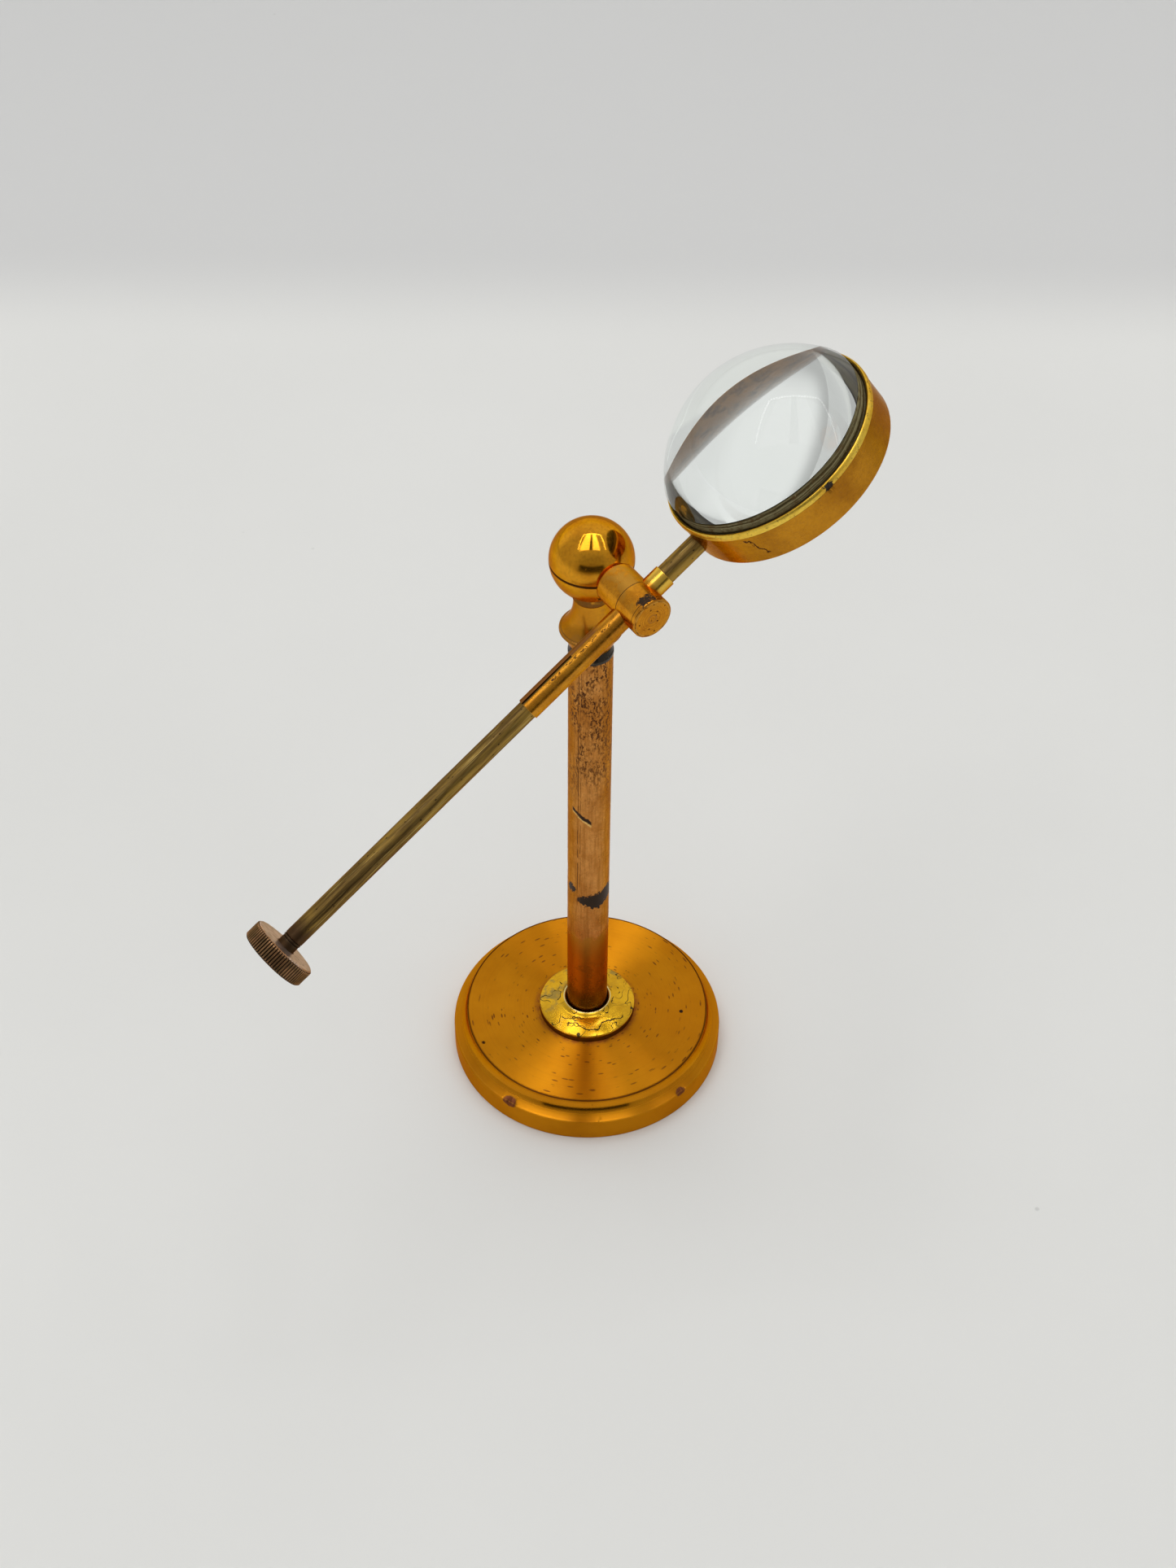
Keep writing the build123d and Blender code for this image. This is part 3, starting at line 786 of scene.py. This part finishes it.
def ground_finish():
    """The lens's edge: brown-olive rings left by the grinding, with old cement and pale grains."""
    f = Finish("finish_ground_edge", LENS)
    height = f.plus(f.z, f.sway(1.2, 0.1, 2))
    lines = f.noise(1.6, 2, 0.5, at=f.vector(height, f.times(f.a, 0.4)))
    f.colour = f.mix(f.range(lines, 0.42, 0.58), (0.06, 0.046, 0.018), (0.25, 0.215, 0.115))
    cloud = f.noise(0.5, 6, 0.68)
    f.lay(f.range(cloud, 0.46, 0.66, 0.0, 0.8), (0.11, 0.065, 0.025))
    grains = f.clouds(0.6, 0.68, 2.4, 5, 0.75)
    f.lay(grains, (0.5, 0.42, 0.22))
    f.rough = f.range(cloud, 0.3, 0.7, 0.22, 0.45)
    f.metal = 0.0
    f.bumps(0.02, 2.5, 4)
    f.lay(f.range(f.plus(f.z, f.times(f.noise(0.4, 4), 0.5)), 10.2, 10.35), (0.03, 0.028, 0.02), 0.3)
    f.lay(f.band(height, 8.35, 8.5, 0.06), (0.34, 0.3, 0.16), 0.3)
    return f.done(Specular_IOR_Level=0.0)


def lead_finish():
    f = Finish("finish_lead", STAND)
    f.colour = f.mix(f.clouds(0.35, 0.65, 0.15, 6, 0.6), (0.26, 0.27, 0.29), (0.4, 0.41, 0.42))
    f.roughen(0.48, 0.7, 0.6, 5)
    f.bumps(0.12, 0.5, 6, 0.6)
    return f.done()


def baize_finish():
    f = Finish("finish_baize", STAND)
    wool = f.noise(5.0, 5, 0.75, warp=0.8)
    f.colour = f.mix(f.range(wool, 0.35, 0.7), (0.015, 0.06, 0.03), (0.05, 0.15, 0.08))
    worn = f.clouds(0.52, 0.7, 0.1, 5, 0.6)
    f.lay(f.both(worn, f.clouds(0.3, 0.6, 1.0, 3)), (0.11, 0.16, 0.1))
    f.rough = f.range(wool, 0.3, 0.7, 0.85, 1.0)
    f.metal = 0.0
    f.raise_by(f.times(wool, 0.25))
    return f.done(Sheen_Weight=0.5, Sheen_Roughness=0.5)


def steel_finish():
    f = Finish("finish_steel", STAND)
    f.colour = f.mix(f.clouds(0.4, 0.65, 0.6, 5), (0.48, 0.47, 0.46), (0.3, 0.28, 0.26))
    f.roughen(0.28, 0.45, 1.5, 4)
    turned_marks(f, f.r, 8.0)
    return f.done()


def leather_finish():
    f = Finish("finish_leather", STAND)
    grain = f.cells(1.6, feature="DISTANCE_TO_EDGE")
    f.colour = f.mix(f.clouds(0.35, 0.65, 0.6, 5), (0.2, 0.105, 0.05), (0.1, 0.05, 0.025))
    f.roughen(0.4, 0.6, 1.0, 4)
    f.metal = 0.0
    f.raise_by(f.times(f.range(grain, 0.0, 0.2), 0.06))
    return f.done()


# ---------------- pieces


def place_piece(obj, body, slot, material, *nodes):
    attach(obj, body)
    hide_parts(*nodes)
    obj.data.materials.clear()
    obj.data.materials.append(material)


def dent(r, a, z, at, width, radius, height, deep):
    """How deep a chip is at each point: at and width in degrees, radius and height of its middle."""
    away = np.abs((np.degrees(a) - at + 180) % 360 - 180) / width
    near = np.hypot(r - radius, z - height) / CHIP_REACH
    wobble = 0.75 + 0.25 * np.sin(np.degrees(a) * 2.3 + at) + 0.15 * np.sin(np.degrees(a) * 5.9)
    return deep * np.clip(1 - away**2, 0, 1) * np.clip(1 - near**2, 0, 1) * wobble


RIM_CHIPS = ((-158.5, 3.6, 0.00042), (-79.0, 2.8, 0.00034), (-118.0, 0.8, 0.00012), (-40.0, 0.9, 0.00012))


def base_piece():
    low, high, _, outer = extent("base_disc")
    outer -= INSIDE
    rim, plate_r = 0.0069, 0.0342
    well_r, well_h, pad_r, pad_t, hole = 0.033, 0.0085, 0.036, 0.0012, 0.003
    groove = 0.00028
    profile = outline(
        (hole, well_h), (well_r, well_h), (well_r, pad_t), (pad_r, pad_t, 0.0001), (pad_r, low, 0.0002),
        (outer, low, 0.00035), (outer, rim, 0.0006), (0.03755, rim, 0.00015, 0.00091),
        (plate_r, high - 0.0004, 0.00012), (plate_r, high, 0.00022), (0.034, high, 0.00005),
        (0.03392, high - groove / 2, 0.00003), (0.03376, high - groove / 2, 0.00003),
        (0.03368, high, 0.00005),
        (hole, high), step=0.0013)

    def chips(r, a, z):
        for at, width, deep in RIM_CHIPS:
            d = dent(r, a, z, at, width, 0.0377, rim - 0.0001, deep)
            r, z = r - 0.8 * d, z - 0.9 * d
        return r, z

    angles = spread(360, (-158.5, 6, 0.25), (-79, 5, 0.25), (-118, 1.5, 0.25), (-40, 1.5, 0.25))
    obj = lathe("base_turned", STAND, profile, angles, chips)
    place_piece(obj, "stand", "lacquered_brass", base_finish(), "base_disc")


def collar_piece():
    low, high, bore, outer = extent("pillar_collar")
    edge = low + 0.0022
    throat = bore + 0.00025
    profile = outline(
        (bore, low), (outer, low, 0.0001), (outer, edge, 0.0004, -0.00025), (0.0077, high - 0.0008, 0.0004),
        (0.0069, high - 0.0002, 0.0002), (0.0064, high, 0.0002), (throat, high - 0.00045, 0.0002),
        (throat, high - 0.0038), (bore, high - 0.0038), step=0.0005)

    def hammered(r, a, z):
        ripple = np.sin(3 * a + 0.7) * 0.00004 + np.sin(7 * a) * 0.00002
        return r, np.where((r > 0.0066) & (z > edge - 0.0001), z - 0.00006 + ripple * 0.7, z)

    obj = lathe("pillar_collar_turned", STAND, profile, 288, hammered)
    place_piece(obj, "stand", "collar_brass", collar_finish(), "pillar_collar")


def tube_piece():
    low, high, bore, outer = extent("pillar_tube")
    profile = outline(
        (bore, low), (outer, low, 0.0001), (outer, high, 0.0001), (bore, high, 0.0001), step=0.0015)
    dings = ((-150, 0.118, 3.0, 0.00005), (-100, 0.088, 2.2, 0.00006), (-70, 0.132, 2.0, 0.00005),
             (60, 0.101, 3.0, 0.00007), (140, 0.07, 2.5, 0.00005), (10, 0.124, 2.5, 0.00005))

    def dinged(r, a, z):
        for at, height, size, deep in dings:
            across = ((np.degrees(a) - at + 180) % 360 - 180) * math.pi / 180 * outer / (size * MM)
            away = ((z - height) / (size * MM)) ** 2
            r = r - np.where(r > bore + 0.0003, deep * np.exp(-(across**2) - away), 0)
        return r, z

    obj = lathe("pillar_tube_worn", STAND, profile, 192, dinged)
    place_piece(obj, "stand", "pillar_brass", pillar_finish(), "pillar_tube")


def mouth_piece():
    low, high, bore, outer = extent("mouth_ring")
    _, shoulder, guide, _ = extent("pillar_tube")
    profile = outline(
        (bore, low), (guide, low, 0.0001), (guide, shoulder), (outer, shoulder, 0.00008),
        (outer, shoulder + 0.0009, 0.00025), (outer - 0.0002, shoulder + 0.0011, 0.0002),
        (outer - 0.0009, high, 0.0006), (bore, high, 0.0002), step=0.0006)
    obj = lathe("mouth_ring_turned", STAND, profile, 192)
    place_piece(obj, "stand", "blackened_brass", ring_finish(), "mouth_ring")


def ball_cutters(tag):
    """The stem's journal and pocket, the flat in front, and the stud's hole."""
    flat, journal_r, pocket_r, pocket_end = 0.0097, STEM_R + 0.00005, 0.0043, 0.0064
    start, beyond = extent("pivot_stem", CROSS)[0] - 0.0001, BALL_R + 0.001
    room = outline((0, start), (pocket_r, start), (pocket_r, pocket_end), (journal_r, pocket_end),
                   (journal_r, flat), (BALL_R, flat), (BALL_R, beyond), (0, beyond), loop=False)
    low, high, _, outer = extent("ball_stud", BALL)
    return lathe("cutter_room_" + tag, CROSS, room, 96), bar("cutter_stud_" + tag, BALL, outer, low, high)


def neck_piece(material):
    low, top, _, _ = extent("neck_and_cup")
    centre = BALL.translation.z
    column_r = 0.0036
    flange_r, flange_h, lip = 0.00795, 0.157, 0.00045
    waist_r, waist_h, bead_r, bead_h = 0.00445, 0.1655, 0.00475, 0.167
    meet = centre - math.sqrt(BALL_R**2 - bead_r**2)
    seam_r = math.sqrt(BALL_R**2 - (top - centre) ** 2)
    chord = math.hypot(seam_r - bead_r, top - meet)
    bulge = BALL_R - math.sqrt(BALL_R**2 - chord**2 / 4)
    reach = flange_r - lip - waist_r
    rise = waist_h - flange_h - lip
    trumpet = math.hypot(reach, rise)
    profile = outline(
        (0, waist_h), (column_r, waist_h), (column_r, low), (0.0053, low, 0.00025),
        (flange_r - lip, flange_h - lip, 0.0003, -0.00022), (flange_r, flange_h, 0.0003, -0.00012),
        (flange_r - lip, flange_h + lip, 0.0001, 0.0915 * trumpet), (waist_r, waist_h, 0.0003),
        (waist_r, bead_h - 0.0001, 0.0002), (bead_r, bead_h + 0.0002, 0.0002), (bead_r, meet, 0.0002, -bulge),
        (seam_r, top, 0.00012), (0, top), step=0.0004, loop=False)
    obj = lathe("neck_and_cup_turned", STAND, profile, 256)
    cut(obj, *ball_cutters("cup"))
    place_piece(obj, "column", "ball_brass", material, "neck_and_cup")


def cap_piece(material):
    low, centre = extent("ball_cap")[0], BALL.translation.z
    seam_r = math.sqrt(BALL_R**2 - (low - centre) ** 2)
    points = [(0, low), (seam_r, low, 0.00012)]
    start = math.asin((low - centre) / BALL_R)
    for t in np.linspace(start, math.pi / 2, 60)[3:-1]:
        points.append((BALL_R * math.cos(t), centre + BALL_R * math.sin(t)))
    points.append((0, centre + BALL_R))
    made, _, loop = outline(*points, step=0.0004, loop=False)
    close = np.clip(1 - np.hypot(made[:, 0] - seam_r, made[:, 1] - low) / EDGE_REACH, 0, 1)
    obj = lathe("ball_cap_turned", STAND, (made, close, loop), 256)
    cut(obj, *ball_cutters("cap"))
    place_piece(obj, "column", "ball_brass", material, "ball_cap")


def barrel_pieces(material):
    start, seam, _, outer = extent("crosshead_inner_barrel", CROSS)
    disc, end = (extent(node, CROSS)[1] for node in ("crosshead_outer_barrel", "crosshead_end_disc"))
    stem_end, sleeve_r = extent("pivot_stem", CROSS)[1], extent("spring_sleeve", ROD)[3]
    notch = 0.00009
    inner = outline(
        (0, stem_end), (STEM_R, stem_end), (STEM_R, start), (outer - 0.0001, start, 0.0004),
        (outer, start + 0.0005, 0.0003), (outer, seam, notch), (0, seam), step=0.0005, loop=False)
    outer_profile = outline(
        (0, seam), (outer, seam, notch), (outer, disc, notch), (0, disc), step=0.0005, loop=False)
    face = outline(
        (0, disc), (outer, disc, notch), (outer, end - 0.00004, 0.00045), (outer - 0.0006, end, 0.0002),
        (0, end), step=0.0005, loop=False)
    for name, profile, node in (("crosshead_barrel_a", inner, "crosshead_inner_barrel"),
                                ("crosshead_barrel_b", outer_profile, "crosshead_outer_barrel")):
        obj = lathe(name, CROSS, profile, 192)
        cut(obj, bar("cutter_sleeve", ROD, sleeve_r, -0.02, 0.02), copy_of("crosshead_screws"))
        place_piece(obj, "crosshead", "crosshead_brass", material, node)
    obj = lathe("crosshead_face", CROSS, face, 192)
    place_piece(obj, "crosshead", "crosshead_brass", material, "crosshead_end_disc")


def sleeve_piece():
    low, high, bore, outer = extent("spring_sleeve", ROD)
    slit_length, slit_width = 0.0161, 0.0008
    profile = outline(
        (bore, low, 0.00006), (outer, low, 0.00012), (outer, high, 0.00012), (bore, high, 0.00006),
        step=0.001)
    obj = lathe("spring_sleeve_sawn", ROD, profile, 128)
    mesh = reworked(bpy.data.meshes.new("cutter_slit"), lambda bm: bmesh.ops.create_cube(bm, size=1))
    size = Matrix.Diagonal((3 * outer, slit_width, 2 * slit_length, 1))
    mesh.transform(ROD @ Matrix.Translation((0, 0, low)) @ size)
    cut(obj, linked("cutter_slit", mesh))
    place_piece(obj, "crosshead", "sleeve_brass", sleeve_finish(), "spring_sleeve")


def rod_piece():
    low, _, _, outer = extent("lens_rod", ROD)
    shoulder, tail_r, joint = -0.1132, 0.0014, LENS_REACH / 2
    profile = outline(
        (0, low), (tail_r, low, 0.0001), (tail_r, shoulder), (outer, shoulder, 0.00025), (outer, joint),
        (0, joint), step=0.002, loop=False)
    obj = lathe("lens_rod_drawn", ROD, profile, 128)
    cut(obj, bar("cutter_cell", LENS, extent("lens_cell", LENS)[3], -0.004, 0.004, 360))
    place_piece(obj, "lens_arm", "bronze_rod", rod_finish(), "lens_rod")


def washer_piece(material):
    low, high, bore, outer = extent("knob_washer", ROD)
    profile = outline((bore, low), (outer, low, 0.00015), (outer, high, 0.00015), (bore, high), step=0.0005)
    obj = lathe("knob_washer_turned", ROD, profile, 128)
    place_piece(obj, "rod_slider", "bronze_knob", material, "knob_washer")


def knob_piece(material):
    low, high, _, outer = extent("knob", ROD)
    low, outer = low + INSIDE, outer - INSIDE
    face, neck_r, hole = -0.1158, 0.0024, 0.0014
    bottom = low + 0.001
    ribs, groove = 72, 0.00032
    profile = outline(
        (0, low), (outer - 0.00045, low, 0.0001), (outer, low + 0.00045, 0.0001),
        (outer, face - 0.00045, 0.0001), (outer - 0.00045, face, 0.00012), (neck_r, face, 0.00015),
        (neck_r, high, 0.0002), (hole, high),
        (hole, bottom), (0, bottom), step=0.0009, loop=False)

    def knurled(r, a, z):
        saw = np.abs(((a * ribs / (2 * math.pi)) % 1) * 2 - 1)
        cutting = np.clip((0.62 - saw) / 0.62, 0, 1) ** 1.3
        rim = np.clip((r - (outer - 0.0006)) / 0.00035, 0, 1)
        return r - groove * cutting * rim, z

    n = ribs * 10
    obj = lathe("knob_knurled", ROD, profile, np.arange(n) * 2 * math.pi / n, knurled)
    place_piece(obj, "lens_arm", "bronze_knob", material, "knob")


CHIP_ANGLES = spread(360, (CHIP_AT, 5, 0.2))


def chip_dent(r, a, z):
    """The chip itself, as a shape for lathe()."""
    return r - dent(r, a, z, CHIP_AT, 3.0, 0.0276, 0.0058, 0.00045), z


def cell_piece():
    low, high, shoulder_r, outer = extent("lens_cell", LENS)
    outer -= INSIDE
    bore, shoulder = 0.02625, extent("lens", LENS)[0] - 0.00005
    profile = outline(
        (shoulder_r, low, 0.0002), (outer, low, 0.00035), (outer, high, 0.00008), (bore, high, 0.00006),
        (bore, shoulder), (shoulder_r, shoulder, 0.0001), step=0.0009)
    obj = lathe("lens_cell_turned", LENS, profile, CHIP_ANGLES, chip_dent)
    place_piece(obj, "lens_arm", "cell_brass", cell_finish(), "lens_cell")


def bezel_piece():
    low, high, inner, outer = extent("lens_bezel", LENS)
    outer -= INSIDE
    profile = outline(
        (inner, low), (outer, low, 0.0001), (outer, low + 0.0011, 0.0004), (outer - 0.00045, high, 0.0004),
        (0.02698, high - 0.00003, 0.0002), (0.02688, high - 0.0002, 0.00006),
        (0.02672, high - 0.00024, 0.00008), (inner + 0.00003, high - 0.0008, 0.00005), step=0.0003)

    def worn(r, a, z):
        r, z = chip_dent(r, a, z)
        wave = np.sin(a * 13 + 1) * 0.5 + np.sin(a * 29) * 0.3 + np.sin(a * 67 + 2) * 0.2
        return r, np.where((r < 0.027) & (z > high - 0.00035), z - 0.00004 * (1 + wave), z)

    obj = lathe("lens_bezel_turned", LENS, profile, CHIP_ANGLES, worn)
    place_piece(obj, "lens_arm", "cell_brass", bezel_finish(), "lens_bezel")


def glass_piece():
    back, top, _, radius = extent("lens", LENS)
    top -= INSIDE
    dome = 0.03
    centre = top - dome
    edge = centre + math.sqrt(dome**2 - radius**2)
    points = [(0, back), (radius, back, 0.00015), (radius, edge)]
    start = math.asin((edge - centre) / dome)
    for t in np.linspace(start, math.pi / 2, 130)[1:-1]:
        points.append((dome * math.cos(t), centre + dome * math.sin(t)))
    points.append((0, top))
    made, close, loop = outline(*points, step=0.0012, loop=False)
    obj = lathe("lens_glass_ground", LENS, (made, close * 0, loop), 384)
    shade(obj.data, 25)
    place_piece(obj, "lens_arm", "lens_glass", glass_finish(), "lens")
    obj.data.materials.append(ground_finish())
    inverse = LENS.inverted()
    for p in obj.data.polygons:
        normal = inverse.to_3x3() @ p.normal
        c = inverse @ p.center
        if abs(normal.z) < 0.2 and back + 0.0001 < c.z < edge:
            p.material_index = 1


def hidden_parts():
    """CAD nodes whose shape is right keep it and get their own finish."""
    stem = plain_metal("finish_stem", CROSS, (0.62, 0.34, 0.08), (0.42, 0.2, 0.04), (0.2, 0.3))
    column = plain_metal("finish_column", STAND, (0.66, 0.42, 0.1), (0.48, 0.28, 0.06), (0.14, 0.26), 0.1)
    screws = steel_finish()
    for node, material in (
            ("base_weight", lead_finish()), ("base_pad", baize_finish()), ("foot_stud", screws),
            ("foot_nut", screws), ("column_packing", leather_finish()), ("column_rod", column),
            ("column_tail_screw", screws),
            ("ball_stud", screws), ("pivot_stem", stem), ("pivot_spring_washer", screws),
            ("crosshead_screws", screws)):
        mesh = NODES[node].data
        if not mesh.materials:
            mesh.materials.append(material)
        for slot in NODES[node].material_slots:
            slot.material = material


# ---------------- stage


CAM_AZIMUTH, CAM_ELEVATION, CAM_ROLL = -33.79, 45.44, 0.585
CAM_AIM = Vector((-0.0003, 0.0002, 0.102))
CAM_DISTANCE = 0.6603
CAM_LENS = 58.2
FLOOR_HALF = 6.0
HORIZON = (335, 400)  # where the floor turns grey, a painted shade standing in for the backdrop, in millimetres beyond the stand
LAMP_LEVEL, PANEL_LEVEL, BACKDROP_LEVEL = 7.0, 2.3, 0.7
LAMP_SEEN, PANEL_SEEN = 0.45, 0.15  # what is left of them for mirror-sharp rays


def camera():
    data = bpy.data.cameras.new("camera")
    data.lens = CAM_LENS
    data.sensor_width = 36
    data.sensor_fit = "AUTO"
    data.clip_start = 0.01
    obj = linked("camera", data)
    a, e = math.radians(CAM_AZIMUTH), math.radians(CAM_ELEVATION)
    back = Vector((math.sin(a) * math.cos(e), -math.cos(a) * math.cos(e), math.sin(e)))
    obj.rotation_mode = "QUATERNION"
    turn = Matrix.Rotation(math.radians(CAM_ROLL), 4, "Z")
    obj.rotation_quaternion = ((-back).to_track_quat("-Z", "Y").to_matrix().to_4x4() @ turn).to_quaternion()
    obj.location = CAM_AIM + back * CAM_DISTANCE
    bpy.context.scene.camera = obj


def floor():
    mesh = reworked(bpy.data.meshes.new("floor"), lambda bm: bmesh.ops.create_grid(
        bm, x_segments=24, y_segments=24, size=FLOOR_HALF))
    obj = linked("floor", mesh)
    obj.location = (0, 0, -0.00002)
    f = Finish("finish_floor", Matrix.Rotation(math.radians(CAM_AZIMUTH), 4, "Z"))
    f.colour = f.mix(f.clouds(0.35, 0.65, 0.004, 4), (0.84, 0.84, 0.825), (0.82, 0.82, 0.805))
    # Painted shade: the floor greys beyond HORIZON, and more further out, standing in for the dimmer backdrop
    f.lay(f.range(f.y, *HORIZON), (0.7, 0.7, 0.7))
    f.lay(f.range(f.y, HORIZON[1], 900, 0.0, 0.5), (0.6, 0.6, 0.6))
    specks = f.both(f.dots(0.035, 0.012, 0.03), f.clouds(0.5, 0.6, 0.01, 2))
    f.lay(f.times(specks, 0.35), (0.4, 0.4, 0.4))
    f.roughen(0.55, 0.7, 0.02, 4)
    f.metal = 0.0
    mesh.materials.append(f.done(Specular_IOR_Level=0.2))


def world():
    """A pale tent: brighter far walls, a darker front, two panels and rows of small lamps in its ceiling."""
    tent = bpy.data.worlds.new("tent")
    bpy.context.scene.world = tent
    f = Nodes(tent, "Generated", Rotation=(0, 0, math.radians(CAM_AZIMUTH)))
    x, y, z = f.x, f.y, f.z
    up = f.math("MAXIMUM", z, 0.02)
    px, py = f.math("DIVIDE", x, up), f.math("DIVIDE", y, up)
    side = f.math("ABSOLUTE", f.math("ARCTAN2", x, f.times(y, -1.0)))
    rise = f.math("ARCTAN2", z, f.r)
    level = f.range(z, -0.1, 0.9, 0.44, 0.5)
    level = f.blend(f.both(f.range(y, 0.15, 0.6), f.range(z, 0.02, 0.2)), level, 0.74)
    level = f.blend(f.both(f.range(y, 0.25, 0.6), f.band(z, 0.05, 0.55, 0.08)), level, 0.8)
    front = f.both(f.range(side, 0.35, 1.1, 1.0, 0.0), f.range(rise, 0.6, 1.15, 1.0, 0.0))
    level = f.blend(front, level, 0.3)
    under = f.both(f.range(side, 0.54, 0.62, 1.0, 0.0), f.band(rise, -0.02, 0.34, 0.03))
    level = f.blend(under, level, 0.02)
    above = f.range(z, 0.05, 0.1)
    # The two panels narrow towards the plate's mirror point, so their sides are sharp in its turned marks
    narrow = f.math("SUBTRACT", f.math("SQRT", f.math("MULTIPLY_ADD", f.times(py, py), 0.5, 0.5)), py)
    turn = f.math("DIVIDE", px, f.math("MAXIMUM", narrow, 0.05))
    ahead = f.both(f.band(py, -0.5, 0.34, 0.05), above)
    lights = f.both(f.either(f.band(turn, -0.56, -0.09, 0.05), f.band(turn, 0.03, 0.34, 0.03)), ahead)
    path = f.node("ShaderNodeLightPath")
    mirrored = path.outputs["Is Singular Ray"]
    lights = f.both(lights, f.range(py, -0.5, 0.3, 0.75, 1.15))
    lights = f.both(lights, f.range(mirrored, 0.0, 1.0, 1.0, PANEL_SEEN))
    level = f.math("MULTIPLY_ADD", lights, PANEL_LEVEL, level)
    slot = f.both(f.band(turn, -0.1, 0.03, 0.02), ahead)
    level = f.blend(slot, level, 0.05)
    # Rows of small lamps: one across the far side, and one down each side that spreads towards the front
    half, near, far, wide, flare = 0.34, -0.4, 0.35, 0.018, 0.55
    across = f.both(f.band(py, far - wide, far + wide, 0.008), f.band(px, -half, half, 0.01),
                    lamps(f, px, half / 9))
    ax = f.plus(f.math("ABSOLUTE", px), f.times(f.math("SUBTRACT", py, far), flare))
    along = f.both(f.band(ax, half - wide, half + wide, 0.008), f.band(py, near, far, 0.01),
                   lamps(f, py, half / 9))
    lit = f.both(f.either(across, along), above)
    lit = f.both(lit, f.range(mirrored, 0.0, 1.0, 1.0, LAMP_SEEN))
    level = f.math("MULTIPLY_ADD", lit, LAMP_LEVEL, level)
    level = f.blend(path.outputs["Is Camera Ray"], level, BACKDROP_LEVEL)
    shader = f.node("ShaderNodeBackground", {"Color": (1.0, 1.0, 0.985, 1.0), "Strength": level})
    out = f.node("ShaderNodeOutputWorld")
    f.link(shader.outputs[0], out.inputs[0])


def lamps(f, v, pitch):
    """1 on each small lamp of a row."""
    turn = f.math("ABSOLUTE", f.math("SUBTRACT", f.math("FRACT", f.math("DIVIDE", v, pitch)), 0.5))
    return f.range(turn, 0.22, 0.34, 1.0, 0.12)


def build():
    camera()
    floor()
    world()
    bpy.context.scene.view_settings.view_transform = "Standard"
    base_piece()
    collar_piece()
    tube_piece()
    mouth_piece()
    ball = ball_finish()
    neck_piece(ball)
    cap_piece(ball)
    barrel_pieces(cross_finish())
    sleeve_piece()
    rod_piece()
    knob = knob_finish()
    washer_piece(knob)
    knob_piece(knob)
    cell_piece()
    bezel_piece()
    glass_piece()
    hidden_parts()


build()
